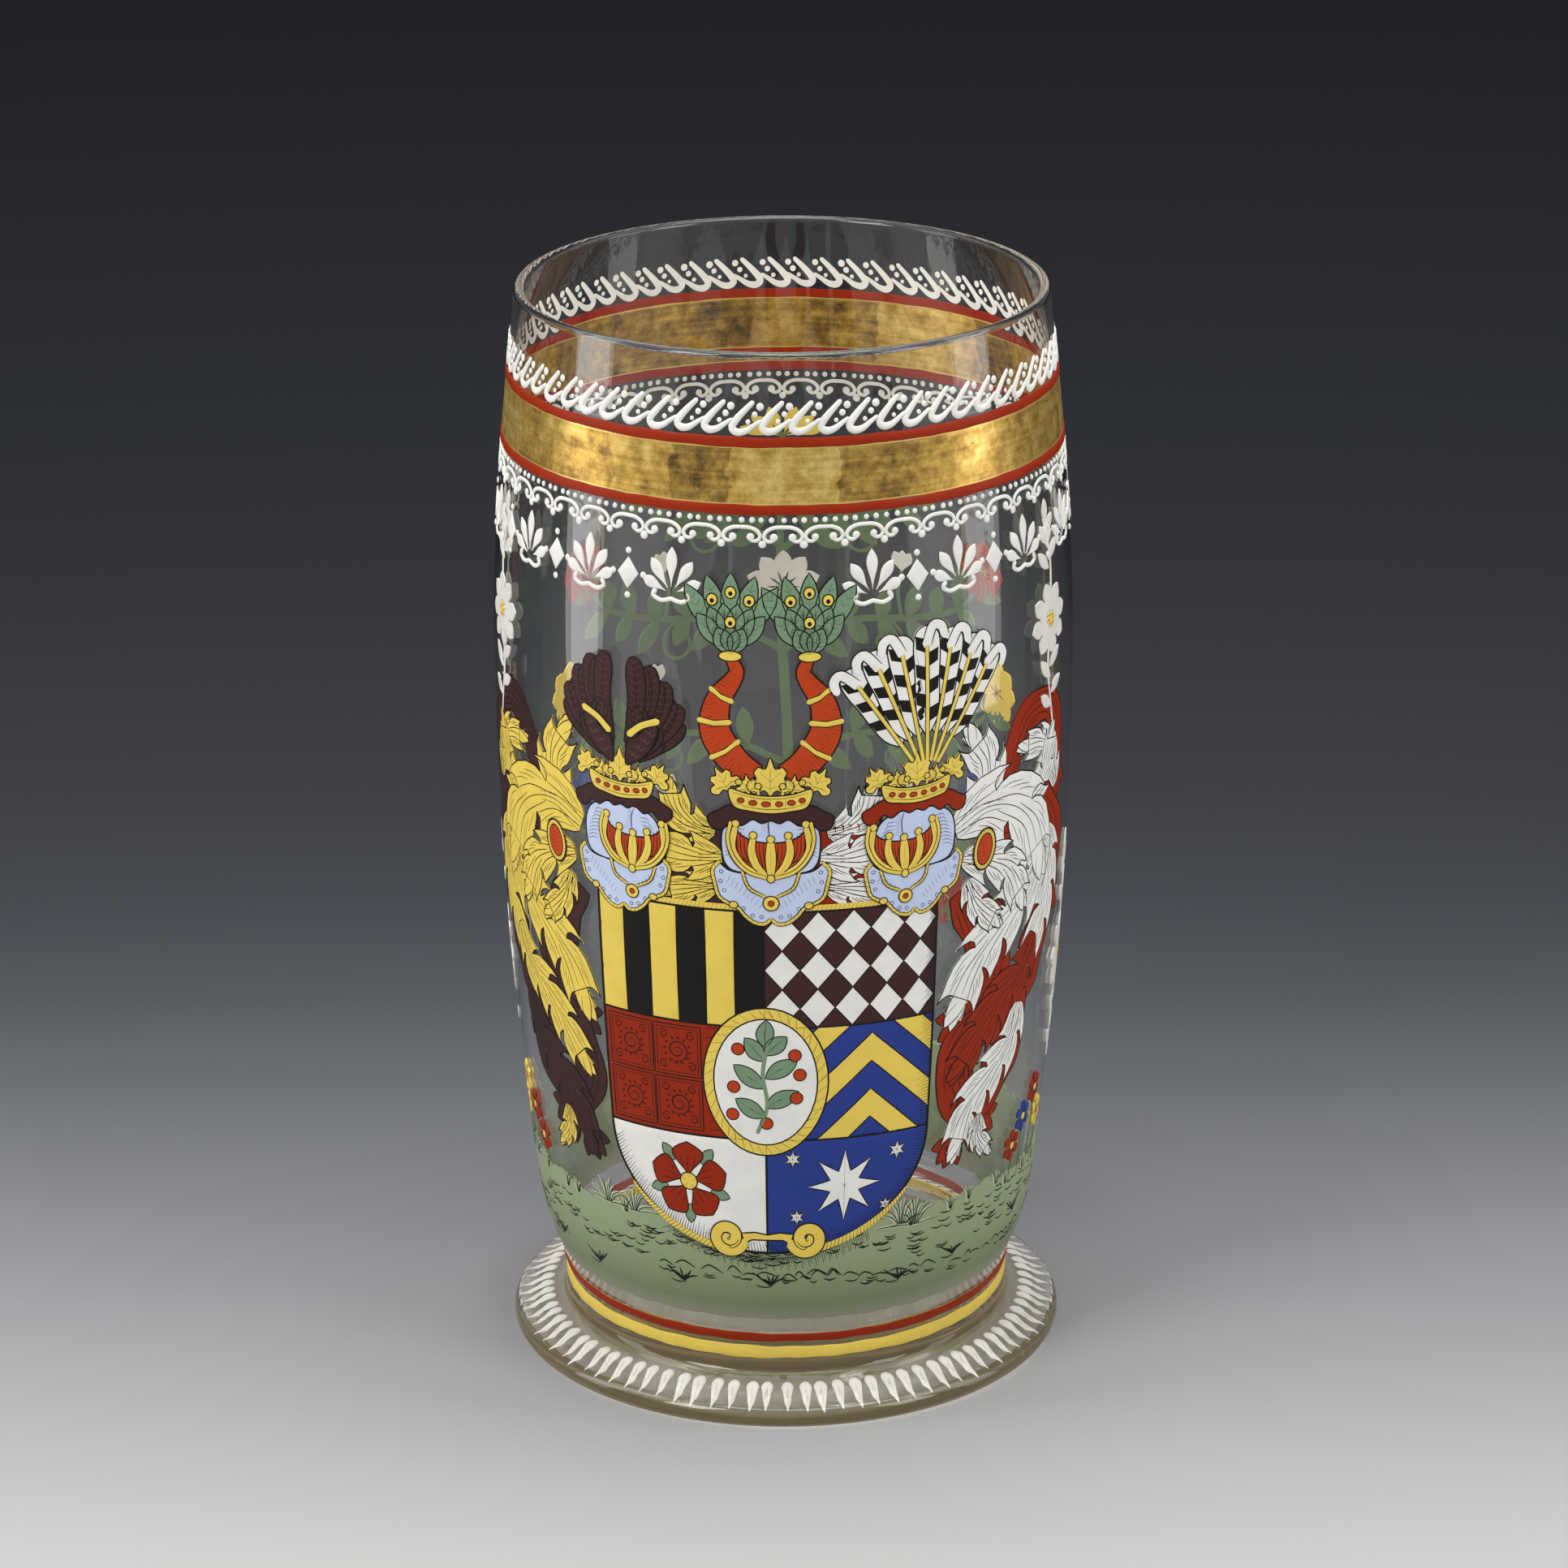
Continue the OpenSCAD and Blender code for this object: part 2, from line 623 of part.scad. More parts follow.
// A drop-shaped stroke, its round head towards the body and its tip at the foot's edge
stroke_l = edge_c - flare_r - 2 * stroke_clear;
petal = concat(
  [for (a = [60 : 30 : 300]) [stroke_w / 2 * (1 + cos(a)) - stroke_l / 2, stroke_w / 2 * sin(a)]],
  [[stroke_l / 2 - 0.1, -0.2], [stroke_l / 2, 0], [stroke_l / 2 - 0.1, 0.2]]);
petal_r = (flare_r + edge_c) / 2;
foot_slope = atan((foot_h - foot_edge_t) / (edge_c - flare_r));

module foot_strokes()
  color(white)
    for (i = [0 : stroke_count - 1])
      rotate([0, 0, 360 * i / stroke_count])
        translate([petal_r, 0, (foot_h + foot_edge_t) / 2 + dot_seat])
          rotate([0, foot_slope, 0])
            linear_extrude(enamel_t)
              polygon(petal);

glass_body();
foot();
wave_border();
wave_dots();
upper_red_line();
gilt_band();
lower_red_line();
bead_row();
lace_scrolls();
lace_pendants();
frieze_palmettes();
frieze_lozenges();
shield_stripes();
shield_pales();
shield_lozenges();
shield_diaper();
shield_chevrons();
shield_rose();
shield_star();
shield_heart();
shield_scroll();
helm_left();
helm_centre();
helm_right();
crown_left();
crown_centre();
crown_right();
crest_wings();
crest_horns();
crest_sprigs();
crest_feathers();
mantling_left();
mantling_right();
spray_left();
spray_right();
tree_stems();
tree_leaves();
blossoms_red();
blossoms_yellow();
blossoms_blue();
ground();
grass_tufts();
base_red_line();
base_yellow_line();
foot_strokes();
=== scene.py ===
"""Looks of an enamelled glass humpen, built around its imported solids.

Shapes are drawn in millimetres on the unrolled wall, x to the right of the front and y up from
the table, and wrapped round the glass in metres when their meshes are made. Coats painted over
one another have levels: a higher level lies further off the glass.
"""
import math
import random

import bpy
import numpy as np
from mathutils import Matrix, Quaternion, Vector
from mathutils.geometry import delaunay_2d_cdt


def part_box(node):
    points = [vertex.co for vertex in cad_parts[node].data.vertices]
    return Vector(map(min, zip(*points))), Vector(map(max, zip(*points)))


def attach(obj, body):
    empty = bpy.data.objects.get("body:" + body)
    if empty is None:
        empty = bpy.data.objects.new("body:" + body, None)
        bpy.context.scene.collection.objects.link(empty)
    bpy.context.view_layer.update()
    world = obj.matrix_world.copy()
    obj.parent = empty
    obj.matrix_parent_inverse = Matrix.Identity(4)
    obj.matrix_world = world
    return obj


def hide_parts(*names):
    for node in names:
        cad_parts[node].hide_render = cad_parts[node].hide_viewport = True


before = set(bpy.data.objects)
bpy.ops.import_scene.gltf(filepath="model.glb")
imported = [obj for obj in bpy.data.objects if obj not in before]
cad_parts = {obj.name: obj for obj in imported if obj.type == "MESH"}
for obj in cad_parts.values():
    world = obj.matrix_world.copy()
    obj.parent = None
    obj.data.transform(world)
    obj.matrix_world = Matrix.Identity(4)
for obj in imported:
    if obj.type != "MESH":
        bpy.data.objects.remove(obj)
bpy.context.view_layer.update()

MM = 0.001
SEGMENTS = 288
# Radius at which the wall is unrolled
ART_R = 67.0
ART_ROUND = 2 * math.pi * ART_R
# Thickness of a coat, of one level, of the part sunk in the glass and of a drawn line
COAT = 0.22
LEVEL = 0.018
SINK = 0.05
INK_HIGH = 0.022
# Level whose underside is highest in the glass, width of a rounded edge, grid of points inside a patch
LAST_LEVEL = 14
EDGE_WIDTH = 0.28
GRID = 1.8
rng = random.Random(7)


# Outline of the glass, read from the solids

# Height of the rounded lip, most that the outside narrows between two rings, least width of a two-edged ring
LIP = 1.2
MOST_NARROWING = 1.5
TWO_EDGED = 0.3
# Spacing of the smoothed outline, and how far under the lip it is held straight
OUTLINE_STEP = 2.4
LIP_HOLD = 0.08
# Thinning for each mm below the lip, where it stops, and where and over what height the wall thickens again
THIN_RATE = 0.05
THIN_DEPTH = 15
THICK_FROM = 20
THICK_OVER = 60


def smooth(points, step=0.5):
    """A smooth line through points that may be unevenly spaced, with a point about every step mm."""
    p = [Vector(q) for q in points]
    long = [(b - a).length for a, b in zip(p, p[1:])]
    way = [(b - a) / h for a, b, h in zip(p, p[1:], long)]
    bend = [(h0 * w1 + h1 * w0) / (h0 + h1) for h0, h1, w0, w1 in zip(long, long[1:], way, way[1:])]
    ends = way[:1] + bend + way[-1:]
    out = []
    for a, b, h, m0, m1 in zip(p, p[1:], long, ends, ends[1:]):
        count = max(1, round(h / step))
        for t in (j / count for j in range(count)):
            out.append((1 + 2 * t) * (1 - t) ** 2 * a + t * (1 - t) ** 2 * h * m0
                       + t * t * (3 - 2 * t) * b + t * t * (t - 1) * h * m1)
    return out + p[-1:]


def heights(node):
    """Lowest and highest point of a solid, in mm."""
    return tuple(v.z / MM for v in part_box(node))


def rings_of(node):
    """Every ring of a turned solid, lowest first, as (height, least radius, largest radius) in mm."""
    rings = {}
    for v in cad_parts[node].data.vertices:
        z = round(v.co.z / MM, 2)
        r = math.hypot(v.co.x, v.co.y) / MM
        low, high = rings.get(z, (r, r))
        rings[z] = (min(low, r), max(high, r))
    return [(z, *rings[z]) for z in sorted(rings)]


def wall_outline():
    """Points (radius, height) of the body's outside, from the foot to the top of the rim."""
    points = []
    for z, _, high in rings_of("glass_body"):
        if not points or high > points[-1][0] - MOST_NARROWING:
            points.append((high, z))
    return points


def bore_outline():
    """Points (radius, height) of the body's inside, from the rim down to the floor."""
    outside = {z for _, z in OUTSIDE}
    points = []
    for z, low, high in rings_of("glass_body"):
        inner = low if z in outside else high
        if z > FOOT_TOP and (z not in outside or high - low > TWO_EDGED):
            points.append((inner + thinning(z), z))
    return smoothed(points[::-1])


def thinning(z):
    """How much thinner the blown wall is below its thick rim, in mm."""
    down = max(LIP_LOW - z, 0.0)
    return THIN_RATE * min(down, THIN_DEPTH) * (1 - ease((down - THICK_FROM) / THICK_OVER))


def ease(share):
    """A soft step from 0 to 1."""
    t = min(1.0, max(0.0, share))
    return t * t * (3 - 2 * t)


def smoothed(points):
    """An outline with a smooth wall, held straight right up to the close-set points of the lip."""
    falling = points[0][1] > points[-1][1]
    rising = points[::-1] if falling else points
    wall = smooth([p for p in rising if p[1] < LIP_LOW], OUTLINE_STEP)
    lip = [p for p in rising if p[1] >= LIP_LOW]
    hold = wall[-1] + LIP_HOLD * (wall[-2] - wall[-1]).normalized()
    line = wall[:-1] + [hold, wall[-1]] + lip
    return line[::-1] if falling else line


FOOT_TOP = heights("foot")[1]
LIP_LOW = heights("glass_body")[1] - LIP
OUTSIDE = wall_outline()
WALL = smoothed(OUTSIDE)
WALL_R, WALL_Z = np.array([tuple(p) for p in WALL]).T


def wrap(x, y, lift):
    """A point of the unrolled wall, lifted off the glass, as a place in metres."""
    r = (float(np.interp(y, WALL_Z, WALL_R)) + lift) * MM
    a = x / ART_R
    return (r * math.sin(a), -r * math.cos(a), y * MM)


# Lines and outlines on the unrolled wall

def even(count):
    """The shares from 0 to 1 in that many even steps."""
    return [i / count for i in range(count + 1)]


def turns(count):
    """The angles of that many points round a circle."""
    return [2 * math.pi * i / count for i in range(count)]


def curve(points, step=0.8, closed=False):
    """A smooth line through given points, with a point about every step mm."""
    p = [Vector(q) for q in points]
    n = len(p)
    out = []
    for i in range(n if closed else n - 1):
        near = [(i + k) % n if closed else min(max(i + k, 0), n - 1) for k in (-1, 0, 1, 2)]
        a, b, c, d = (p[k] for k in near)
        count = max(1, round((c - b).length / step))
        for t in (j / count for j in range(count)):
            out.append(0.5 * (2 * b + t * (c - a) + t * t * (2 * a - 5 * b + 4 * c - d)
                              + t ** 3 * (3 * b - a - 3 * c + d)))
    return out if closed else out + p[-1:]


def split_long(outline, most=1.6):
    """A closed outline with its long sides divided, so that it can bend round the wall."""
    loop = [Vector(p) for p in outline]
    out = []
    for a, b in zip(loop, loop[1:] + loop[:1]):
        count = max(1, math.ceil((b - a).length / most))
        out += [a.lerp(b, j / count) for j in range(count)]
    return out


def tangents(line, closed=False):
    """The direction of a line at each of its points."""
    n = len(line)
    found = []
    for i in range(n):
        after = line[(i + 1) % n] if closed else line[min(i + 1, n - 1)]
        before = line[i - 1] if closed else line[max(i - 1, 0)]
        d = after - before
        found.append(d.normalized() if d.length > 1e-9 else Vector((1, 0)))
    return found


def left_of(t):
    return Vector((-t.y, t.x))


def beside(line, off):
    """A line moved to its left, by one distance or by a list of one for each point."""
    offs = off if isinstance(off, list) else [off] * len(line)
    return [p + o * left_of(t) for p, t, o in zip(line, tangents(line), offs)]


def shares(line):
    """How far along the line each of its points lies, from 0 to 1."""
    steps = [0.0] + [(b - a).length for a, b in zip(line, line[1:])]
    total = np.cumsum(steps)
    return [float(v) for v in total / max(total[-1], 1e-9)]


def sided(points, side, axis=0.0):
    """Points for the right side of an upright axis, or mirrored for its left with side -1."""
    return [(axis + side * x, y) for x, y in points]


def both_sides(half):
    """A closed outline from its right half, which runs from the bottom to the top of the axis."""
    return [Vector(p) for p in half] + [Vector((-x, y)) for x, y in half[::-1] if abs(x) > 1e-6]


def corners(x0, y0, x1, y1):
    return [(x0, y0), (x1, y0), (x1, y1), (x0, y1)]


def ellipse(x, y, half_w, half_h, count=28):
    return [Vector((x + half_w * math.cos(a), y + half_h * math.sin(a))) for a in turns(count)]


def spiral(x, y, start_r, end_r, start, winds, count=26):
    """A line that winds round (x, y) while its radius changes. start is in degrees."""
    out = []
    for t in even(count - 1):
        a = math.radians(start) + 2 * math.pi * winds * t
        r = start_r + (end_r - start_r) * t
        out.append(Vector((x + r * math.cos(a), y + r * math.sin(a))))
    return out


def leaf(length, width, bend=0.0):
    """A pointed leaf that grows up from the origin, bent to one side."""
    rows = [(width / 2 * math.sin(math.pi * t) ** 0.8, bend * t ** 2, length * t) for t in even(9)]
    right = [Vector((shift + half, y)) for half, shift, y in rows]
    return right + [Vector((shift - half, y)) for half, shift, y in rows[-2:0:-1]]


def lobe(long, bend):
    """A rounded leaf lobe that grows up from the origin and bends to the right."""
    halves = [0.5 * math.sin(math.pi * (0.1 + 0.9 * t) ** 0.85) ** 0.7 for t in even(9)[:-1]] + [0.0]
    rows = [(half, bend * t * t, long * t) for half, t in zip(halves, even(9))]
    right = [(shift + half, y) for half, shift, y in rows]
    return right + [(shift - half, y) for half, shift, y in rows[-2::-1]]


def petal(length, width):
    """A round-ended petal that grows up from the origin."""
    return both_sides([(width / 2 * math.sin(math.pi * t ** 1.7), length * t) for t in even(10)])


def clip(outline, window):
    """The part of an outline inside a convex window that runs counter-clockwise."""
    out = [Vector(p) for p in outline]
    for a, b in zip(window, window[1:] + window[:1]):
        edge = b - a
        inside = [edge.cross(p - a) >= -1e-9 for p in out]
        kept = []
        for i, p in enumerate(out):
            q = out[i - 1]
            if inside[i] != inside[i - 1]:
                s = edge.cross(q - a) / (edge.cross(q - a) - edge.cross(p - a))
                kept.append(q.lerp(p, s))
            if inside[i]:
                kept.append(p)
        out = kept
        if len(out) < 3:
            return []
    return out


class Place:
    """Moves shapes from their own origin to a spot on the unrolled wall."""

    def __init__(self, x, y, size=1.0, turn=0.0, flip=False, lean=0.0):
        self.at, self.size, self.flip, self.lean = Vector((x, y)), size, flip, lean
        self.cos, self.sin = math.cos(math.radians(turn)), math.sin(math.radians(turn))

    def spot(self, x, y):
        x = (-x if self.flip else x) + self.lean * y
        return self.at + self.size * Vector((x * self.cos - y * self.sin, x * self.sin + y * self.cos))

    def __call__(self, points, rise=0.0):
        """The points moved, after they are raised from their own origin."""
        return [self.spot(x, y + rise) for x, y in points]


# Coats of enamel: meshes drawn on the unrolled wall

# Sections as shares of half the width and of the height
STROKE_SECTION = ((-1, 0), (-0.7, 0.72), (0, 1), (0.7, 0.72), (1, 0))
INK_SECTION = ((-1, 0), (0, 1), (1, 0))
DROP_RINGS = ((1, 0), (0.92, 0.55), (0.6, 0.9))
# Share of the length over which each end of a stroke and of a drawn line tapers
STROKE_TAPER = 0.4
INK_TAPER = 0.3


class Coat:
    """The points and faces of one piece of enamel."""

    def __init__(self, to_space=wrap):
        self.points, self.faces, self.to_space = [], [], to_space

    def add(self, points, faces):
        start = len(self.points)
        self.points += points
        self.faces += [tuple(start + i for i in f) for f in faces]


coats = {}


def coat(name, colour):
    """The coat of that name, made in its colour when it is first painted."""
    if name not in coats:
        coats[name] = (Coat(), colour)
    return coats[name][0]


def pen(motif):
    """The black lines drawn on a motif."""
    return coat("ink_" + motif, "black")


def level_top(level):
    return COAT + level * LEVEL


def seat(level, high):
    """Where raised enamel starts on the coats below it, and how far it rises from there."""
    if level <= 0:
        return -SINK, high + SINK
    return level_top(level) - 0.6 * LEVEL, high


def winding(points, loop):
    """How often a closed outline goes round each of the points."""
    px, py = np.hsplit(np.array([tuple(p) for p in points]), 2)
    a = np.array([tuple(p) for p in loop])
    b = np.roll(a, -1, axis=0)
    side = (b[:, 0] - a[:, 0]) * (py - a[:, 1]) - (px - a[:, 0]) * (b[:, 1] - a[:, 1])
    up = (a[:, 1] <= py) & (b[:, 1] > py) & (side > 0)
    down = (a[:, 1] > py) & (b[:, 1] <= py) & (side < 0)
    return up.sum(1) - down.sum(1)


def area(target, outline, level=0):
    """A filled patch of enamel with softly rounded edges. The coats laid first lie deepest in the glass."""
    loop = split_long(outline)
    if sum(a.cross(b) for a, b in zip(loop, loop[1:] + loop[:1])) < 0:
        loop.reverse()
    border = len(loop)
    columns, rows = (np.arange(min(v) + GRID / 2, max(v), GRID) for v in zip(*loop))
    spare = [p + EDGE_WIDTH * left_of(t) for p, t in zip(loop, tangents(loop, True))]
    spare += [Vector((x, y)) for x in columns for y in rows]
    points = loop + [p for p, w in zip(spare, winding(spare, loop)) if w > 0]
    edges = [(i, (i + 1) % border) for i in range(border)]
    flat, _, tris, source, _, _ = delaunay_2d_cdt(points, edges, [], 0, 1e-5)
    middles = [(flat[a] + flat[b] + flat[c]) / 3 for a, b, c in tris]
    tris = [t for t, w in zip(tris, winding(middles, loop)) if w > 0]
    top = level_top(level)
    edge_top = 0.5 * top if level == 0 else top - 0.5 * LEVEL
    under = -SINK - LEVEL * max(0, LAST_LEVEL - level)
    n = len(flat)
    solid = [(p.x, p.y, top if s and min(s) >= border else edge_top) for p, s in zip(flat, source)]
    solid += [(p.x, p.y, under) for p in flat]
    sides = dict.fromkeys((a, b) for t in tris for a, b in zip(t, t[1:] + t[:1]))
    faces = [tuple(t) for t in tris] + [tuple(n + i for i in t[::-1]) for t in tris]
    faces += [(b, a, a + n, b + n) for a, b in sides if (b, a) not in sides]
    used = sorted({i for f in faces for i in f})
    new = {old: i for i, old in enumerate(used)}
    target.add([solid[i] for i in used], [tuple(new[i] for i in f) for f in faces])


def ring_faces(count, ring, closed=False):
    """The faces between rings of points, with their fronts outwards where counter-clockwise rings go up."""
    faces = []
    for i in range(count if closed else count - 1):
        a, b = ring * i, ring * ((i + 1) % count)
        faces += [(a + k, a + (k + 1) % ring, b + (k + 1) % ring, b + k) for k in range(ring)]
    return faces


def tapered(width, t, taper, reach):
    """Half the width at share t of a line's length, taper being the share of the width left at both ends."""
    start, end = (least + (1 - least) * min(1.0, s / reach) for least, s in zip(taper, (t, 1 - t)))
    return width / 2 * start * end


def sweep(target, line, sizes, base, section, closed=False):
    """A raised line, from half its width and its height at every point."""
    points = []
    for p, d, (half, rise) in zip(line, tangents(line, closed), sizes):
        for share, up in section:
            q = p - left_of(d) * half * share
            points.append((q.x, q.y, base + rise * up))
    ring = len(section)
    faces = ring_faces(len(line), ring, closed)
    if not closed:
        faces += [tuple(range(ring - 1, -1, -1)), tuple(range(len(points) - ring, len(points)))]
    target.add(points, [f[::-1] for f in faces])


def stroke(target, line, width, level=0, high=0.2, taper=(1.0, 1.0)):
    """A brush stroke with a rounded back and blunt ends along a line."""
    line = [Vector(p) for p in line]
    first, last = (line[0] - line[1]).normalized(), (line[-1] - line[-2]).normalized()
    reach = 0.4 * width
    line = [line[0] + first * reach * taper[0]] + line + [line[-1] + last * reach * taper[1]]
    base, rise = seat(level, high)
    sizes = [(tapered(width, t, taper, STROKE_TAPER), rise) for t in shares(line)]
    for end in (0, -1):
        sizes[end] = (0.35 * sizes[end][0], 0.5 * rise)
    sweep(target, line, sizes, base, STROKE_SECTION)


def ink(target, line, width=0.42, level=0, closed=False, taper=(0.5, 0.5)):
    """A thin drawn line on top of the coats up to that level."""
    line = [Vector(p) for p in line]
    half_level = 0.5 * LEVEL
    sizes = [(width / 2 if closed else tapered(width, t, taper, INK_TAPER), INK_HIGH + half_level)
             for t in shares(line)]
    sweep(target, line, sizes, level_top(level) - half_level, INK_SECTION, closed)


def dome(target, rings, tip):
    """A closed drop of enamel from its rings, lowest first, and the point on top."""
    sides = len(rings[0])
    top = len(rings) * sides
    faces = [tuple(range(sides - 1, -1, -1))] + ring_faces(len(rings), sides)
    faces += [(top - sides + i, top - sides + (i + 1) % sides, top) for i in range(sides)]
    target.add([p for ring in rings for p in ring] + [tip], faces)


def drop(target, x, y, d, level=0, high=0.3, sides=12):
    """A round drop of enamel."""
    base, rise = seat(level, high)
    rings = [[(x + d / 2 * share * math.cos(a), y + d / 2 * share * math.sin(a), base + rise * up)
              for a in turns(sides)] for share, up in DROP_RINGS]
    dome(target, rings, (x, y, base + rise))


def belt(name, colour, columns, edges, section):
    """A coat right round the glass. edges gives its lower and upper height at an angle."""
    points = []
    for a in turns(columns):
        low, high = edges(a)
        points += [(ART_R * a, low + (high - low) * share, lift) for share, lift in section]
    faces = ring_faces(columns, len(section), True)
    coat(name, colour).add(points, [f[::-1] for f in faces])


def outlined(name, colour, outline, level, motif, width=0.42):
    """A patch of colour with a drawn contour."""
    area(coat(name, colour), outline, level)
    ink(pen(motif), split_long(outline, 1.0), width, level, closed=True)


class Sheet:
    """Shapes painted over one another, the drawn lines of each left out where a later shape covers them."""

    STEP = 0.05

    def __init__(self, motif, level):
        self.motif, self.level, self.shapes, self.lines = motif, level, [], []

    def height(self, order):
        return self.level + self.STEP * order

    def shape(self, name, colour, outline, width):
        loop = split_long(outline, 0.8)
        area(coat(name, colour), loop, self.height(len(self.shapes)))
        self.shapes.append(np.array([tuple(p) for p in loop]))
        self.line(loop + loop[:1], width)

    def line(self, points, width):
        self.lines.append((len(self.shapes), points, width))

    def draw(self):
        target = pen(self.motif)
        for order, points, width in self.lines:
            spots = np.array([tuple(p) for p in points])
            shown = np.ones(len(spots), bool)
            for later in self.shapes[order:]:
                if (later.min(0) < spots.max(0)).all() and (later.max(0) > spots.min(0)).all():
                    shown &= winding(spots, later) == 0
            run = []
            for p, seen in [*zip(points, shown), (None, False)]:
                if seen:
                    run.append(p)
                    continue
                if len(run) > 1:
                    ink(target, run, width, self.height(order), taper=(0.6, 0.6))
                run = []


# Borders round the rim and the foot

WAVES = 61
WAVE_HOOK = (
    (0, 0), (-2.6, -2.5), (-4.5, -4.7), (-4.75, -5.8), (-3.6, -6.6), (-1.7, -6.3), (0.2, -5.1), (1.9, -4.0),
)
WAVE_DROPS = ((1.75, -0.9, 1.75), (0.5, -2.6, 1.45), (-1.05, -4.25, 1.1))
BEADS = 175
SCROLLS = 45
SCROLL_HALF = (
    (0, 0.1), (1.9, 0.0), (3.5, -0.7), (4.25, -1.75), (3.9, -2.75), (3.0, -3.1), (2.2, -2.8), (1.9, -2.3),
)
FRIEZE_X = -2.7
LOZENGE_HALF = ((0, 2.4), (1.5, 4.4), (2.7, 6), (1.5, 7.6), (0, 9.6))
# Painted lines round the glass: colour, thickness and how unsteady their edges are
BANDS = {
    "upper_red_line": ("red", 0.3, 0.06), "lower_red_line": ("red", 0.3, 0.06),
    "base_red_line": ("red", 0.3, 0.07), "base_yellow_line": ("yellow", 0.3, 0.07),
    "gilt_band": ("gilt", 0.12, 0.05),
}


def paint_wave_border():
    """Slanted hooks in a running row below the rim, with three drops in every loop."""
    top = heights("wave_border")[1] - 0.7
    for i in range(WAVES):
        at = Place(i * ART_ROUND / WAVES + rng.uniform(-0.2, 0.2), top, rng.uniform(0.96, 1.03))
        stroke(coat("wave_border", "white"), curve(at(WAVE_HOOK), 0.5), 1.75, high=0.3, taper=(0.62, 0.45))
        for x, y, d in WAVE_DROPS:
            drop(coat("wave_dots", "white"), *at.spot(x, y), d * rng.uniform(0.9, 1.08))


def paint_bead_row():
    low, high = heights("bead_row")
    for i in range(BEADS):
        x = (i + rng.uniform(-0.12, 0.12)) * ART_ROUND / BEADS
        drop(coat("bead_row", "white"), x, (low + high) / 2, (high - low) * rng.uniform(0.92, 1.05))


def paint_lace():
    """Flat arches whose ends curl in to a ball, with a drop hanging where two arches meet."""
    top = heights("lace_scrolls")[1] - 0.5
    hang = sum(heights("lace_pendants")) / 2
    wide = ART_ROUND / SCROLLS
    for i in range(SCROLLS):
        at = Place(i * wide + rng.uniform(-0.1, 0.1), top, rng.uniform(0.97, 1.03))
        white = coat("lace_scrolls", "white")
        for side in (-1, 1):
            stroke(white, curve(at(sided(SCROLL_HALF, side)), 0.4), 0.9, high=0.26, taper=(1, 0.9))
            drop(white, *at.spot(side * 2.05, -2.15), 1.75 * rng.uniform(0.92, 1.08))
        drop(coat("lace_pendants", "white"), (i + 0.5) * wide, hang, 1.85 * rng.uniform(0.92, 1.06))


def palmette(white, at):
    for a in (-66, -33, 0, 33, 66):
        area(white, Place(*at.spot(0, 2.6), 1, a)(petal(9.2 - abs(a) / 22, 2.6), 1.5))
    for side in (-1, 1):
        curl = at(sided([(0, 1.5), (2.4, 0.9), (4.4, 1.9), (3.9, 3.0)], side))
        stroke(white, curve(curl, 0.5), 1.0, high=0.28, taper=(1, 1.3))


def lozenge(white, at):
    area(white, at(both_sides(LOZENGE_HALF)))
    for x, y in ((0, 0.9), (0, 11.1), (-4, 6), (4, 6)):
        drop(white, *at.spot(x, y), 1.5)


def paint_frieze():
    """Palmettes and lozenges by turns, to both sides of a gap over the middle crest."""
    low = heights("frieze_palmettes")[0] - 2.6
    for k in range(9):
        for side in (-1, 1):
            at = Place(FRIEZE_X + side * (23 + 11 * k), low)
            if k % 2 == 0:
                palmette(coat("frieze_palmettes", "white"), at)
            else:
                lozenge(coat("frieze_lozenges", "white"), at)


def paint_bands():
    """Lines round the glass where their solids lie, with slightly unsteady edges."""
    for node, (colour, thick, waver) in BANDS.items():
        low, high = heights(node)

        def edges(a):
            return (low + waver * (math.sin(7 * a) + math.sin(17 * a + 1) + math.sin(41 * a + 2)),
                    high + waver * (math.sin(5 * a + 3) + math.sin(23 * a) + math.sin(37 * a + 1)))

        flat = [(share, thick) for share in (0.12, 0.5, 0.88)]
        belt(node, colour, SEGMENTS, edges,
             [(0, -SINK), (0, thick / 2), *flat, (1, thick / 2), (1, -SINK)])


# Shield

SHIELD_X = -4.7
SHIELD_HALF = 41.0
SHIELD_TOP = 131.0
SHIELD_LOW = 43.0
# Height at which the sides turn into the round foot
SHIELD_TURN = 72.0
LEFT = SHIELD_X - SHIELD_HALF
RIGHT = SHIELD_X + SHIELD_HALF
ROW_LOW = 73.0
ROW_HIGH = 102.0
STRIPE = SHIELD_HALF / 6
# Middle of the rose, the star and the oval in the centre
CHARGE_Y = 60.5
HEART_Y = 88.0
# Sprig in the oval: height, turn and length of its leaves, and places of its berries
SPRIG_LEAVES = (
    (79, 62, 8.5), (81.5, -58, 9), (86.5, 56, 9.5), (89, -54, 9), (93.5, 44, 7.5), (95, -42, 7), (97, 2, 7),
)
SPRIG_BERRIES = ((-7.6, 86.6), (7.4, 84), (-6.4, 96.4), (7, 95), (0.2, 77.4), (-8, 79.5), (8.2, 90))
SMALL_STARS = ((6.5, 68, 2.4), (33, 68, 2.6), (7.5, 52.5, 2.3), (30.5, 54, 2.2))
SCROLL_MIDDLE = (
    (-6, 2.4), (-4, 3.6), (4, 3.6), (6, 2.4), (6.6, 5.2), (3.2, 5.6), (0, 5.0), (-3.2, 5.6), (-6.6, 5.2),
)


def bow_point(a, grow=0.0):
    """A point on the shield's round foot, a being the angle from its right end."""
    deep = SHIELD_TURN - SHIELD_LOW + grow
    return Vector((SHIELD_X + (SHIELD_HALF + grow) * math.cos(a), SHIELD_TURN - deep * math.sin(a)))


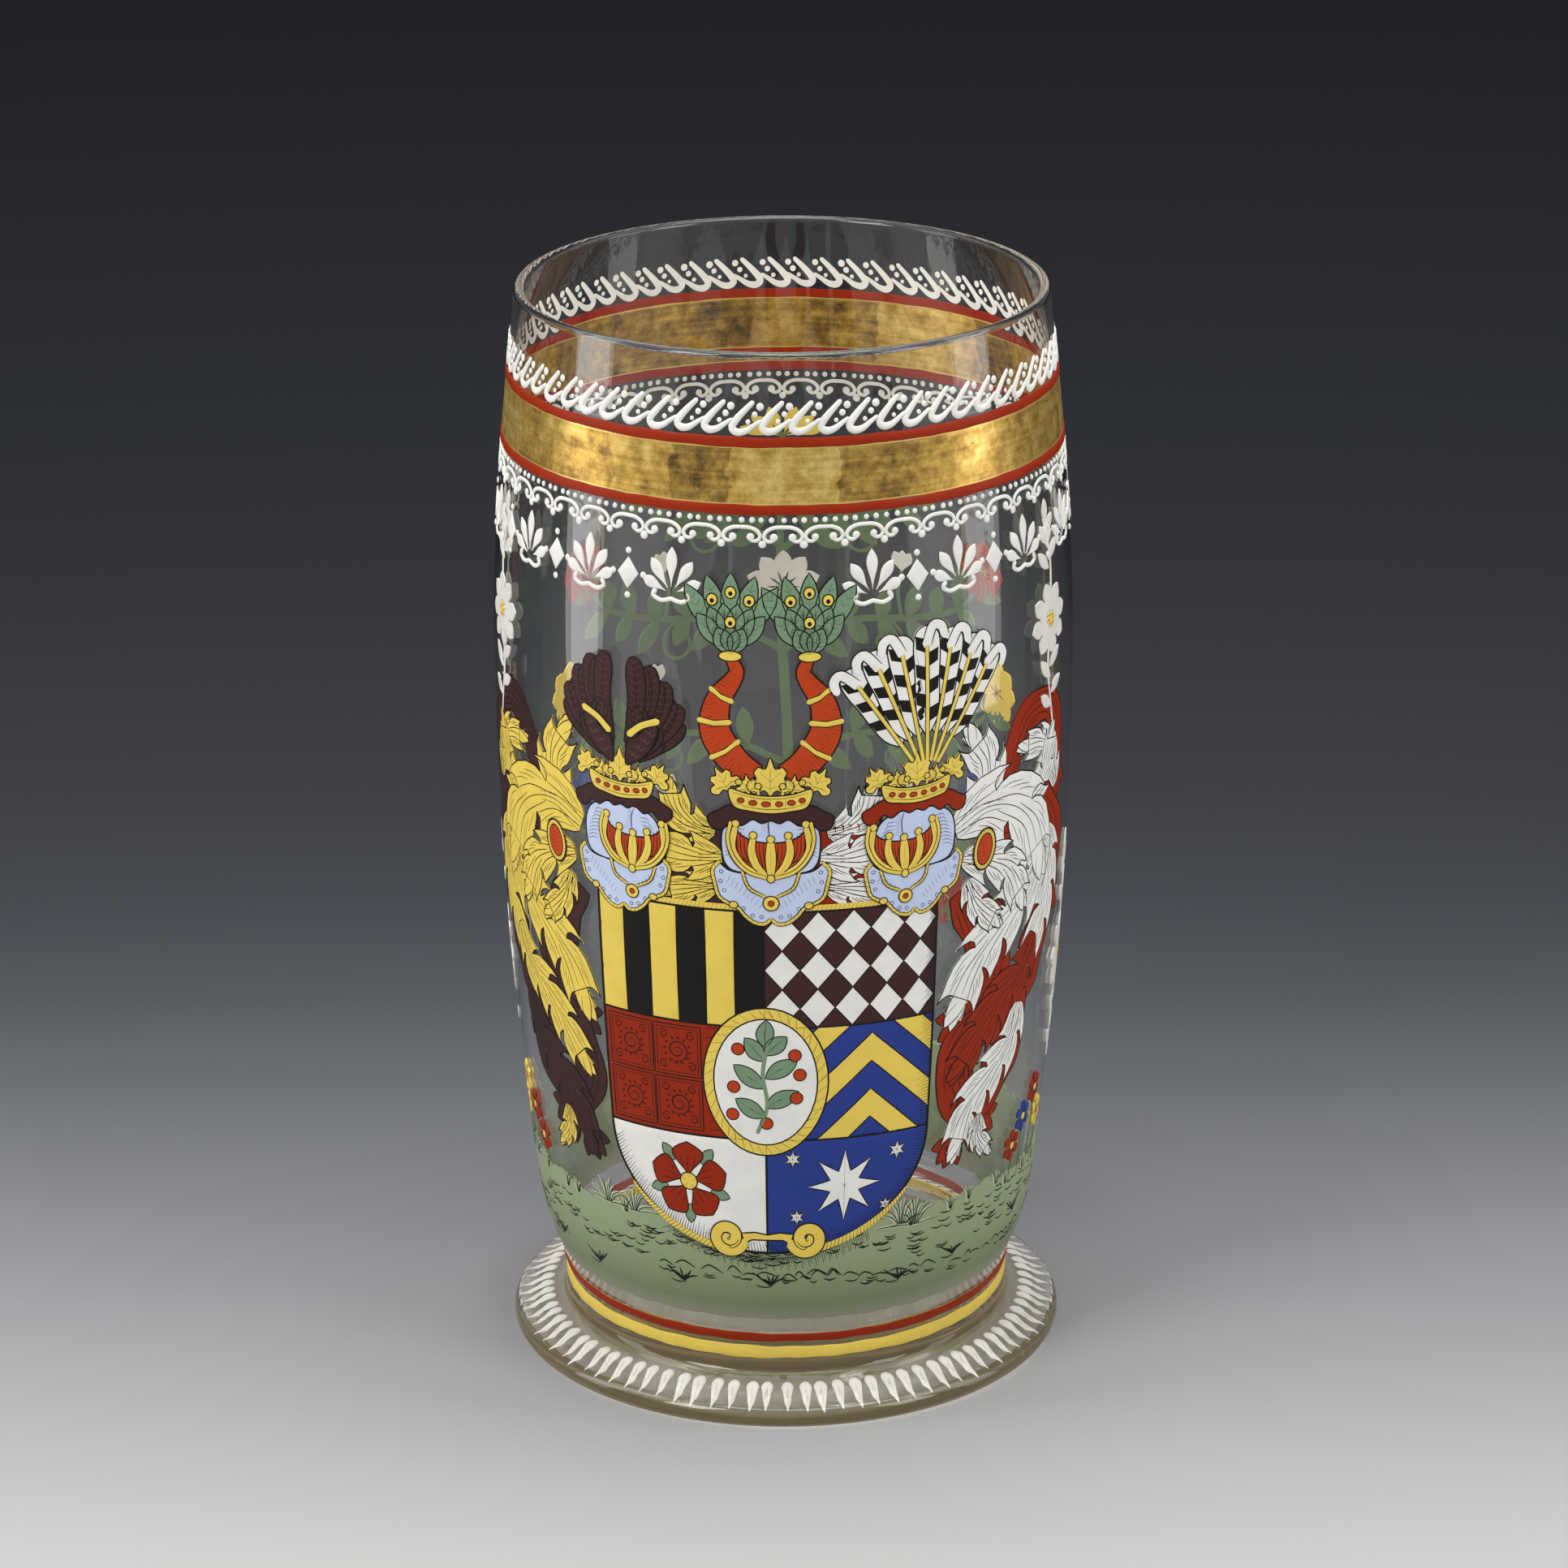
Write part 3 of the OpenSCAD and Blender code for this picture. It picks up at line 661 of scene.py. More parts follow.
def shield_outline(grow=0.0):
    top = SHIELD_TOP + grow
    bow = [bow_point(math.pi * t, grow) for t in even(40)]
    return bow + [Vector((LEFT - grow, top)), Vector((RIGHT + grow, top))]


def cell(x0, y0, x1, y1):
    """One field of the shield, counter-clockwise."""
    return clip(shield_outline()[::-1], [Vector(p) for p in corners(x0, y0, x1, y1)])


def paint_stripes():
    for k in range(6):
        node, colour = ("shield_pales", "black") if k % 2 else ("shield_stripes", "yellow")
        x = LEFT + k * STRIPE
        area(coat(node, colour), corners(x, ROW_HIGH, x + STRIPE, SHIELD_TOP))


def paint_lozenges():
    field = cell(SHIELD_X, ROW_HIGH, RIGHT, SHIELD_TOP)
    area(coat("shield_lozenges", "white"), field)
    wide, tall = SHIELD_HALF / 5, (SHIELD_TOP - ROW_HIGH) / 3
    diamond = [(wide / 2, 0), (0, tall / 2), (-wide / 2, 0), (0, -tall / 2)]
    for i in range(6):
        for j in range(4):
            part = clip(Place(SHIELD_X + i * wide, ROW_HIGH + j * tall)(diamond), field)
            if part:
                outlined("shield_lozenges_brown", "brown", part, 1, "shield", 0.3)


def scroll_panel(x0, y0, x1, y1):
    """Drawn scrolls inside a double frame."""
    lines = pen("shield")
    for inset, width in ((0, 0.4), (0.8, 0.22)):
        ink(lines, split_long(corners(x0 + inset, y0 + inset, x1 - inset, y1 - inset)), width, closed=True)
    x, y, w, h = (x0 + x1) / 2, (y0 + y1) / 2, (x1 - x0) / 2 - 1.2, (y1 - y0) / 2 - 1.2
    small = 0.26 * min(w, h)
    big = 0.62 * min(w, h)
    ink(lines, spiral(x, y, big, 0.5, -120, 1.8, 40), 0.4)
    for sx in (-1, 1):
        for sy in (-1, 1):
            start = 45 if sx == sy else 135
            curl = spiral(x + 0.74 * sx * w, y + 0.74 * sy * h, small, 0.3, start, 1.3 * sx * sy, 20)
            ink(lines, curl, 0.34)
            for turn in (-0.5, 0.1, 0.6):
                a = math.atan2(sy, sx) + turn
                p = Vector((x + big * math.cos(a), y + big * math.sin(a)))
                q = p + Vector((math.cos(a + 0.7), math.sin(a + 0.7))) * 0.3 * big
                ink(lines, curve([p, p.lerp(q, 0.5) + 0.12 * left_of(q - p), q], 0.4), 0.5, taper=(1, 0.3))


def paint_diaper():
    area(coat("shield_diaper", "red"), cell(LEFT, ROW_LOW, SHIELD_X, ROW_HIGH))
    for x in (LEFT + 1.2, LEFT + 13.6):
        for y in (ROW_LOW + 1.2, ROW_LOW + 14.9):
            scroll_panel(x, y, x + 12, y + 12.9)
    for k in range(12):
        y = ROW_LOW + 1.6 + 2.4 * k
        ink(pen("shield"), curve([(LEFT + 27, y), (LEFT + 33, y + 0.5), (SHIELD_X, y)]), 0.3)


def paint_chevrons():
    field = cell(SHIELD_X, ROW_LOW, RIGHT, ROW_HIGH)
    area(coat("shield_chevrons", "blue"), field)
    tall, half_rise, half = 7.2, 14, 30
    lower = [(-half, -half_rise), (0, half_rise), (half, -half_rise)]
    arms = lower + [(x, y + tall) for x, y in lower[::-1]]
    for k in range(-1, 5):
        part = clip(Place(SHIELD_X + SHIELD_HALF * 0.62, ROW_LOW - 9 + 2 * tall * k)(arms), field)
        if part:
            outlined("shield_chevrons_yellow", "yellow", part, 1, "shield", 0.35)


def paint_rose():
    """An open five-petalled rose with sepals and a seeded centre."""
    area(coat("shield_rose", "white"), cell(LEFT, SHIELD_LOW, SHIELD_X, ROW_LOW))
    x, size = SHIELD_X - 20, 1.12
    for i in range(5):
        at = Place(x, CHARGE_Y, size, 72 * (i + 0.5))
        outlined("shield_rose_sepal", "leaf", at(leaf(4.6, 2.6), 5.4), 1, "shield", 0.3)
    for i in range(5):
        at = Place(x, CHARGE_Y, size, 72 * i)
        outlined("shield_rose_petal", "red", at(petal(8.4, 7.4), 0.8), 2, "shield", 0.34)
        for dx in (-0.9, 0, 0.9):
            ink(pen("shield"), at([(dx, 2.6), (dx * 1.7, 4.4), (dx * 2.0, 5.8)]), 0.26, 2)
    outlined("shield_rose_heart", "yellow", ellipse(x, CHARGE_Y, 2 * size, 2 * size), 3, "shield", 0.34)


def star(x, y, size, points):
    rays = [Vector((x + r * math.cos(a), y + r * math.sin(a)))
            for r, a in zip([size, size * 0.42] * points, [math.pi / 2 + t for t in turns(2 * points)])]
    outlined("shield_star_white", "white", rays, 1, "shield", 0.32)
    middle = Vector((x, y))
    for tip in rays[::2]:
        ink(pen("shield"), [middle, middle.lerp(tip, 0.86)], 0.24, 1)


def paint_star():
    area(coat("shield_star", "blue"), cell(SHIELD_X, SHIELD_LOW, RIGHT, ROW_LOW))
    star(SHIELD_X + 19.5, CHARGE_Y, 9.4, 8)
    for dx, y, size in SMALL_STARS:
        star(SHIELD_X + dx, y, size, 6)


def paint_heart():
    """The framed oval in the middle of the shield, with a berried sprig."""
    lines = pen("shield")
    outlined("shield_heart_frame", "yellow", ellipse(SHIELD_X, HEART_Y, 15, 19, 44), 2, "shield", 0.45)
    outlined("shield_heart", "white", ellipse(SHIELD_X, HEART_Y, 12.4, 16.2, 40), 3, "shield", 0.4)
    for a in turns(40):
        p = Vector((SHIELD_X + 12.8 * math.cos(a), HEART_Y + 16.6 * math.sin(a)))
        q = Vector((SHIELD_X + 14.6 * math.cos(a + 0.1), HEART_Y + 18.6 * math.sin(a + 0.1)))
        ink(lines, [p, q], 0.26, 2)
    stem = curve([(SHIELD_X - 2, 75), (SHIELD_X + 0.4, 82), (SHIELD_X - 0.6, 90), (SHIELD_X + 0.6, 97.5)], 1)
    stroke(coat("shield_heart_sprig", "leaf"), stem, 1.0, level=4, high=0.04)
    for y, turn, long in SPRIG_LEAVES:
        at = Place(SHIELD_X, y, 1, turn)
        outlined("shield_heart_sprig", "leaf", at(leaf(long, 4.2, 0.6)), 4, "shield", 0.3)
        ink(lines, at([(0, 0.5), (0.1, long * 0.45), (0.5, long * 0.9)]), 0.24, 4)
    for dx, y in SPRIG_BERRIES:
        outlined("shield_heart_berry", "orange", ellipse(SHIELD_X + dx, y, 1.5, 1.5, 16), 5, "shield", 0.3)


def paint_shield_edges():
    """The contour and divisions of the shield, hatching along its right edge and foot, and its upper rim."""
    lines = pen("shield")
    ink(lines, split_long(shield_outline(0.1), 1.0), 0.7, 1, closed=True)
    for line in ([(SHIELD_X, SHIELD_LOW), (SHIELD_X, SHIELD_TOP)], [(LEFT, ROW_LOW), (RIGHT, ROW_LOW)],
                 [(LEFT, ROW_HIGH), (RIGHT, ROW_HIGH)]):
        ink(lines, curve(line, 1.0), 0.55, 1, taper=(1, 1))
    for k in range(1, 6):
        x = LEFT + k * STRIPE
        ink(lines, curve([(x, ROW_HIGH), (x, SHIELD_TOP)], 1.0), 0.3, 1)
    for i, p in enumerate(split_long(shield_outline(-0.3), 0.85)):
        if p.y < SHIELD_TOP - 1 and (p.x > RIGHT - 3 or p.y < ROW_LOW - 4):
            inward = (Vector((SHIELD_X, SHIELD_TURN + 12)) - p).normalized()
            long = 2.2 + 1.3 * math.sin(1.7 * i) ** 2
            ink(lines, [p, p + long * (inward + 0.25 * left_of(inward))], 0.2, 2, taper=(1, 0.2))
    rim = split_long([(RIGHT + 0.6, SHIELD_TOP + 0.9), (LEFT - 0.6, SHIELD_TOP + 0.9)])
    stroke(coat("shield_rim", "yellow"), rim[:len(rim) // 2], 1.5, level=1, high=0.03)
    for i in range(1, 82):
        ink(lines, [(LEFT + i, SHIELD_TOP + 0.3), (LEFT + i + 0.5, SHIELD_TOP + 1.5)], 0.22, 1.6)


def paint_scroll():
    """The gilt-coloured scroll under the shield, and the rope edge that runs up from it."""
    lines = pen("shield")
    at = Place(SHIELD_X, SHIELD_LOW - 0.2)
    outlined("shield_scroll", "yellow", at(SCROLL_MIDDLE), 5, "shield", 0.4)
    gold = coat("shield_scroll", "yellow")
    for side in (-1, 1):
        line = at(sided(spiral(10.2, 4.0, 4.2, 0.9, 200, 1.45, 34), side))
        stroke(gold, line, 3.0, level=6, high=0.05, taper=(1, 0.8))
        for edge in (-1.5, 1.5):
            offs = [edge * (0.45 if i > 26 else 1) for i in range(len(line))]
            ink(lines, beside(line, offs), 0.34, 8)
        angles = [math.radians(30 + 46 * t) for t in even(30)]
        rope = [bow_point(a if side > 0 else math.pi - a, 0.6) for a in angles]
        stroke(gold, rope, 1.7, level=3, high=0.06, taper=(0.4, 1))
        for p, t in zip(rope, tangents(rope)):
            cut = 0.8 * left_of(t) + 0.4 * t
            ink(lines, [p - cut, p + cut], 0.26, 6)


# Helms and crowns

HELM_Y = 127.6
CROWN_Y = 155.6
# Place, size and how far the bars are turned to one side
HELMS = {"left": (-38.5, 0.92, 2.2), "centre": (-3.0, 1.0, 0.0), "right": (30.5, 0.92, -2.2)}
GORGET_EDGE = (
    (0, 1.7), (1.5, 0.5), (3.2, 0.6), (5.8, 2.3), (7.6, 4.4), (9.4, 5.2), (11.6, 6.6), (12.7, 10),
    (13.0, 13.8), (11.8, 15.2),
)
GORGET_TOP = ((9.8, 13.6), (7, 12.9), (3.6, 13), (0, 13.2))
RIVETS = ((11.2, 13.0), (11.4, 10.6), (10.6, 8.4), (6.2, 4.2), (4.2, 2.5), (2.2, 2.2))
HELM_DOME = (
    (0, 12.6), (7.6, 13.2), (10.2, 15.0), (11.0, 18.6), (10.8, 22.8), (9.2, 26), (5.6, 27.9), (0, 28.4),
)
BASKET = (
    (0, 11.9), (3.6, 12.5), (6.8, 14.8), (8.9, 18.6), (9.3, 22.8), (8.4, 25.0), (7.1, 22.6), (5.0, 21.2),
    (2.4, 20.5), (0, 20.4),
)
BASKET_ROPE = ((8.9, 25.0), (9.6, 21.4), (8.4, 16.8), (5.2, 13.3), (0.8, 11.8))
CHAIN = ((6.4, 13.2), (5.0, 9.4), (1.4, 7.2))
# Leaves of a crown: place, size and turn
CROWN_LEAVES = (
    (-4.8, 4.3, 0.86, 8), (4.8, 4.3, 0.86, -8), (-9.3, 4.8, 1.15, 30), (9.3, 4.8, 1.15, -30),
    (0, 4.2, 1.6, 0),
)
FLEURON = (
    (0, -0.4), (0.8, 0.5), (2.2, 0.0), (3.3, 0.9), (2.9, 1.9), (1.9, 2.2), (2.3, 3.1), (1.6, 4.0),
    (0.7, 3.7), (0, 5.4),
)
FLEURON_VEINS = (
    ((0, 0.4), (0, 3.8)), ((0, 0.8), (1.3, 1.2), (2.5, 1.1)), ((0, 0.8), (-1.3, 1.2), (-2.5, 1.1)),
    ((0, 1.8), (1.4, 3.2)), ((0, 1.8), (-1.4, 3.2)),
)
CROWN_BAND = ((0, -0.5), (4.4, 0.0), (8.2, 1.1), (9.2, 5.2), (4.8, 4.1), (0, 3.7))
JEWELS = ((-6.6, 0.8), (-3.9, 0.9), (-1.0, 1.0), (1.9, 0.8), (4.6, 0.9), (7.0, 0.7))


def cord(gold, line, width, level, twisted):
    """A gilt-coloured cord on a helm, with drawn edges."""
    path = smooth(line, 0.6)
    stroke(gold, path, width, level=level, high=0.05)
    for edge in (-0.5, 0.5):
        ink(pen("helms"), beside(path, edge * width), 0.24, level + 2)
    if twisted:
        for p, t in list(zip(path, tangents(path)))[::2]:
            cut = 0.4 * width * left_of(t) + 0.3 * t
            ink(pen("helms"), [p - cut, p + cut], 0.18, level + 2)


def paint_helm(side, x, size, look):
    """A barred helm over its gorget, its bars moved sideways by as much as it is turned."""
    name = "helm_" + side
    lines = pen("helms")
    gold = coat(name + "_gold", "yellow")
    at = Place(x, HELM_Y, size)
    front = Place(x + look, HELM_Y, size, lean=0.02 * look)

    def knob(spot, half_w, half_h, level, width, count=12, part="_gold", colour="yellow"):
        outlined(name + part, colour, ellipse(*spot, half_w, half_h, count), level, "helms", width)

    outlined(name, "steel", at(curve(both_sides(GORGET_EDGE + GORGET_TOP), 0.8, True)), 4, "helms")
    for flip in (-1, 1):
        cord(gold, at(sided(GORGET_EDGE, flip)), 0.85, 5, True)
        knob(at.spot(flip * 8.5, 5.0), 1.0, 0.85, 8, 0.26, 14)
        for px, py in RIVETS:
            ink(lines, ellipse(*at.spot(flip * px, py), 0.42, 0.42, 9), 0.2, 4, closed=True)
        for k in range(9):
            px, py = 9.9 - 0.9 * k, 10.4 - 0.75 * k
            ink(lines, at(sided([(px, py), (px - 0.8, py + 2.0 - 0.1 * k)], flip)), 0.18, 4)
    outlined(name, "steel", at(curve(both_sides(HELM_DOME), 0.8, True)), 5, "helms")
    ink(lines, front(curve([(0.3, 28), (-0.5, 25.4), (-0.2, 21.4)], 0.6)), 0.3, 5)
    for k in range(9):
        ink(lines, front([(-0.4, 21.6 + 0.62 * k), (-2.4 + 0.12 * k, 22.3 + 0.62 * k)]), 0.17, 5)
        hatch = [(10.4 - 0.04 * k * k, 16.8 + k), (8.9 - 0.18 * k, 17.6 + k), (7.4 - 0.26 * k, 17.6 + k)]
        for flip in (-1, 1):
            ink(lines, at(curve(sided(hatch, flip), 0.5)), 0.17, 5)
    outlined(name + "_lining", "orange", front(curve(both_sides(BASKET), 0.8, True)), 6, "helms")
    for k in range(-10, 11):
        shade = [(k * 0.84, 20.0 + 0.045 * k * k), (k * 0.8, 17.4), (k * 0.42, 12.5 + 0.03 * k * k)]
        ink(lines, front(curve(shade, 0.8)), 0.24, 6)
    for k in (-2, -1, 1, 2, 0):
        high_y = 20.8 + 0.9 * k * k
        bar = smooth(front([(k * 3.9, high_y), (k * 4.3, 18.4), (k * 3.3, 15.0), (k * 1.1, 12.3)]), 0.6)
        width = 2.5 if k == 0 else 2.0
        stroke(gold, bar, width, level=8, high=0.08, taper=(0.6, 0.5))
        for edge in (-0.5, 0.5):
            offs = [edge * width * (0.6 + 0.4 * math.sin(math.pi * s)) for s in shares(bar)]
            ink(lines, beside(bar, offs), 0.22, 10)
        ink(lines, bar[1:-2], 0.15, 11)
        knob(front.spot(k * 3.9, high_y + 0.5), 0.9, 0.9, 11, 0.24)
    for flip in (-1, 1):
        cord(gold, front(sided(BASKET_ROPE, flip)), 0.9, 10, False)
    knob(front.spot(0, 11.7), 0.9, 1.0, 13, 0.26)
    for flip in (-1, 1):
        cord(gold, front(sided(CHAIN, flip)), 0.7, 7, True)
    medal = front.spot(0, 5.6)
    knob(medal, 1.8 * size, 1.8 * size, 10, 0.3, 18)
    knob(medal, 0.7 * size, 0.7 * size, 11, 0.22, part="_lining", colour="orange")


def paint_crown(side, x, size):
    """An open crown: a jewelled band with leaves, and balls between them."""
    name = "crown_" + side
    lines = pen("crowns")
    at = Place(x, CROWN_Y, size)
    for place in CROWN_LEAVES:
        own = Place(*place)
        outlined(name, "yellow", at(own(curve(both_sides(FLEURON), 0.4, True))), 8, "crowns", 0.32)
        for vein in FLEURON_VEINS:
            ink(lines, at(own(vein)), 0.2, 8)
    for bx in (-7.0, -2.7, 2.7, 7.0):
        stroke(coat(name, "yellow"), at([(bx, 3.8), (bx, 5.2)]), 0.6, level=8, high=0.04)
        ball = at.spot(bx, 5.9 + 0.02 * bx * bx)
        outlined(name, "yellow", ellipse(*ball, 0.75, 0.75, 12), 9, "crowns", 0.26)
    outlined(name, "yellow", at(curve(both_sides(CROWN_BAND), 0.7, True)), 10, "crowns", 0.34)
    for y in (0.5, 3.0):
        line = [(-8.3, y + 1.4), (-4.4, y + 0.4), (0, y), (4.4, y + 0.4), (8.3, y + 1.4)]
        ink(lines, at(curve(line, 0.8)), 0.2, 10)
    for jx, wide in JEWELS:
        jewel = ellipse(*at.spot(jx, 1.75 + 0.018 * jx * jx), wide * size, 0.62 * size, 12)
        outlined(name + "_jewel", "orange", jewel, 11, "crowns", 0.22)
    for k in range(-12, 13, 3):
        bow = 0.005 * k * k
        ink(lines, at([(k * 0.55, 0.9 + bow), (k * 0.55, 2.7 + bow)]), 0.16, 10)


# Crests

# Rows of feathers in a wing: count, first and last angle, distance of foot and tip, and width
WING_ROWS = ((8, 30, 86, 5.0, 27.0, 5.6), (7, 34, 84, 3.5, 15.5, 5.0))
WING_ROOT = Vector((2.8, 8.6))
WING_ARM = (
    (1.8, 8.4), (5.6, 10.2), (8.8, 13.6), (10.4, 18.4), (8.6, 21.0), (6.6, 17.6), (4.4, 15.4), (2.4, 14.4),
)
HORN = ((3.4, 8.4), (8.2, 12), (12.2, 18.6), (11.6, 25.6), (8.4, 30.6), (7.4, 33), (8.6, 35.8))
# Rows of leaves in a sprig: turns, distance from the horn's mouth and length
SPRIG_ROWS = (
    ((-34, -17, 0, 17, 34), 6.5, 12.5), ((-40, -24, -8, 8, 24, 40), 2.5, 9.5), ((-26, 0, 26), 0.4, 6.5),
)
PLUME_FOOT = (33.0, 160.0)
# Plumes from the outside in, each over the last
PLUME_ORDER = (0, 6, 1, 5, 2, 4, 3)
PLUME_BARS = 6


def pinion(at, foot, tip, wide, level):
    """One feather of a wing with its quill and barbs."""
    spine = curve([foot, foot.lerp(tip, 0.55) + Vector((1.3, -0.3)), tip], 0.8)
    half = [wide / 2 * (0.55 + 0.45 * s) * math.sqrt(max(0.0, 1 - max(0.0, (s - 0.7) / 0.3) ** 2)) + 0.15
            for s in shares(spine)]
    loop = beside(spine, half) + beside(spine, [-h for h in half])[::-1]
    outlined("crest_wings", "brown", at(loop), level, "crests", 0.36)
    ink(pen("crests"), at(spine), 0.26, level)
    side = [left_of(v) for v in tangents(spine)]
    for j in range(3, len(spine) - 1, 2):
        ahead = (spine[j] - spine[j - 1]).normalized()
        for s in (-0.7, 0.7):
            barb = [spine[j], spine[j] + side[j] * s * half[j] + ahead]
            ink(coat("ink_wings", "shade_brown"), at(barb), 0.2, level)


def paint_wings():
    """A pair of raised wings on the left crown, with pinions, coverts and a band across the arm."""
    lines = pen("crests")
    for flip in (False, True):
        at = Place(HELMS["left"][0], CROWN_Y, 0.95, flip=flip)
        for row, (count, first, last, inner, outer, wide) in enumerate(WING_ROWS):
            for k in range(count):
                a = math.radians(first + (last - first) * k / (count - 1))
                way = Vector((0.62 * math.cos(a), math.sin(a)))
                tip = WING_ROOT + outer * (0.94 + 0.06 * (k % 2)) * way
                pinion(at, WING_ROOT + inner * way, tip, wide, 2 * row + k % 2 + k)
        outlined("crest_wings", "brown", at(curve(WING_ARM, 0.8, True)), 12, "crests", 0.36)
        for k in range(9):
            scale = Place(3.6 + 0.72 * k + 0.3 * (k % 2), 11.4 + 1.0 * k - 1.6 * (k % 2))
            line = curve(scale([(-0.8, 0.6), (0, -0.4), (0.9, 0.5)]), 0.5)
            ink(coat("ink_wings", "shade_brown"), at(line), 0.24, 12)
        band = at(curve([(3.0, 16.2), (6.2, 18.8), (10.2, 20.4)], 0.7))
        stroke(coat("crest_wings_band", "yellow"), band, 1.7, level=13, high=0.06)
        for edge in (-0.85, 0.85):
            ink(lines, beside(band, edge), 0.26, 15)


def paint_horns():
    """A pair of ringed horns on the middle crown."""
    lines = pen("crests")
    line = curve(HORN, 0.8)
    half = [4.0 * (0.72 + 0.42 * math.sin(math.pi * s * 1.05)) * (1 - 0.52 * s) for s in shares(line)]
    inside = beside(line, half)
    outside = beside(line, [-h for h in half])
    for flip in (False, True):
        at = Place(HELMS["centre"][0], CROWN_Y, flip=flip)
        outlined("crest_horns", "orange", at(inside + outside[::-1]), 2, "crests", 0.42)
        for j in range(3, len(line) - 3):
            end = outside[j].lerp(inside[j + 1], 0.3 + 0.12 * (j % 3))
            ink(lines, at([outside[j].lerp(inside[j], 0.04), end]), 0.2, 2)
        for s in (0.3, 0.52, 0.72):
            j = int(s * (len(line) - 1))
            ring = at([outside[j], outside[j].lerp(inside[j], 0.5) + Vector((0, -0.5)), inside[j]])
            stroke(coat("crest_horns_ring", "yellow"), ring, 1.3, level=3, high=0.06)
            for up in (-0.7, 0.7):
                ink(lines, [p + Vector((0, up)) for p in ring], 0.26, 5)
        outlined("crest_horns_ring", "yellow", ellipse(*at.spot(8.8, 36.4), 2.6, 1.2, 18), 4, "crests", 0.32)


def paint_sprigs():
    """A leafy sprig with berries in the mouth of each horn."""
    lines = pen("crests")
    for side in (-1, 1):
        foot = (HELMS["centre"][0] + side * 8.8, CROWN_Y + 36.6)
        for level, (leaves, near, long) in enumerate(SPRIG_ROWS, 1):
            for a in leaves:
                at = Place(*foot, 1, a)
                outlined("crest_sprigs", "leaf", at(leaf(long, 4.4), near), level, "crests", 0.34)
                ink(lines, at([(0, near + 0.6), (0, near + long * 0.85)]), 0.24, level)
                for k in range(4):
                    y = near + long * (0.25 + 0.15 * k)
                    for s in (-1, 1):
                        ink(lines, at([(0, y), (s * 1.1, y + 1.0)]), 0.18, level)
        for dx, dy in ((-4.2, 12.6), (0, 14.4), (4.2, 12.6), (0, 7.6)):
            x, y = foot[0] + dx, foot[1] + dy
            outlined("crest_sprigs_berry", "yellow", ellipse(x, y, 1.25, 1.35, 16), 5, "crests", 0.32)
            area(lines, ellipse(x, y - 0.25, 0.5, 0.55, 10), 6)


def paint_feathers():
    """A fan of barred plumes with drooping tips on yellow quills."""
    lines = pen("crests")
    for k, i in enumerate(PLUME_ORDER):
        a = 68 * (i / 6 - 0.5)
        long = 37 - abs(a) / 14
        droop = -1 if a > 0 else 1
        at = Place(*PLUME_FOOT, 1, a)
        half = [(0.3, 11), (2.4, 14.5), (3.0, 19), (3.1, 25)]
        half += [(3.4, long - 6), (3.0, long - 2.4), (1.2, long - 0.6)]
        outlined("crest_feathers", "white", at(curve(both_sides(half), 0.8, True)), 2 + k, "crests", 0.36)
        steps = [14 + (long - 17.5) * t for t in even(PLUME_BARS)]
        for row, (y0, y1) in enumerate(zip(steps, steps[1:])):
            bar = [(0.25, y0), (2.75, y0 + 1.2), (2.95, y1 + 1.0), (0.25, y1)]
            area(coat("crest_feathers_black", "black"), at(sided(bar, -1 if row % 2 else 1)), 3 + k)
        quill = curve([(0, 5), (0, 14), (0, long - 5)], 1.0)
        stroke(coat("crest_feathers_quill", "yellow"), at(quill), 0.95, level=4 + k, high=0.05)
        for edge in (-0.48, 0.48):
            ink(lines, at([(edge, p.y) for p in quill]), 0.2, 5 + k)
        tip = [(0, long - 4.6), (1.6, long - 0.6), (3.8, long - 1.0), (4.6, long - 3.4)]
        curl = at(curve(sided(tip, droop), 0.6))
        stroke(coat("crest_feathers", "white"), curl, 2.5, level=4 + k, high=0.05, taper=(1, 0.6))
        for edge in (-1.2, 1.2):
            ink(lines, beside(curl, edge), 0.28, 6 + k)


# Mantling

# Colours of the leaves and of their lining, and which leaf shows the lining
MANTLING = {"left": ("yellow", "brown", 9), "right": ("white", "red", 8)}
# Bands of lining: line on the right of the shield, and width at its start, middle and end
MANTLING_LININGS = (
    ([(61, 150), (64, 161), (71, 168.5), (79, 168), (84.5, 160), (85.5, 149)], (5, 8.5, 6)),
    ([(57, 147), (69, 145), (79, 139), (85, 130), (84.5, 119)], (12, 16, 8)),
    ([(47.8, 131), (53, 123), (58, 114), (57, 104), (50.5, 98)], (8, 15, 8)),
    ([(80, 124), (78, 112), (73, 102), (67, 94)], (9, 14, 8)),
    ([(66, 104), (59, 97), (51.5, 92), (48.4, 84), (51, 76), (57, 70)], (9, 12, 8)),
    ([(70, 99), (69, 89), (63, 80), (55, 73), (50, 66)], (8, 13, 6)),
)
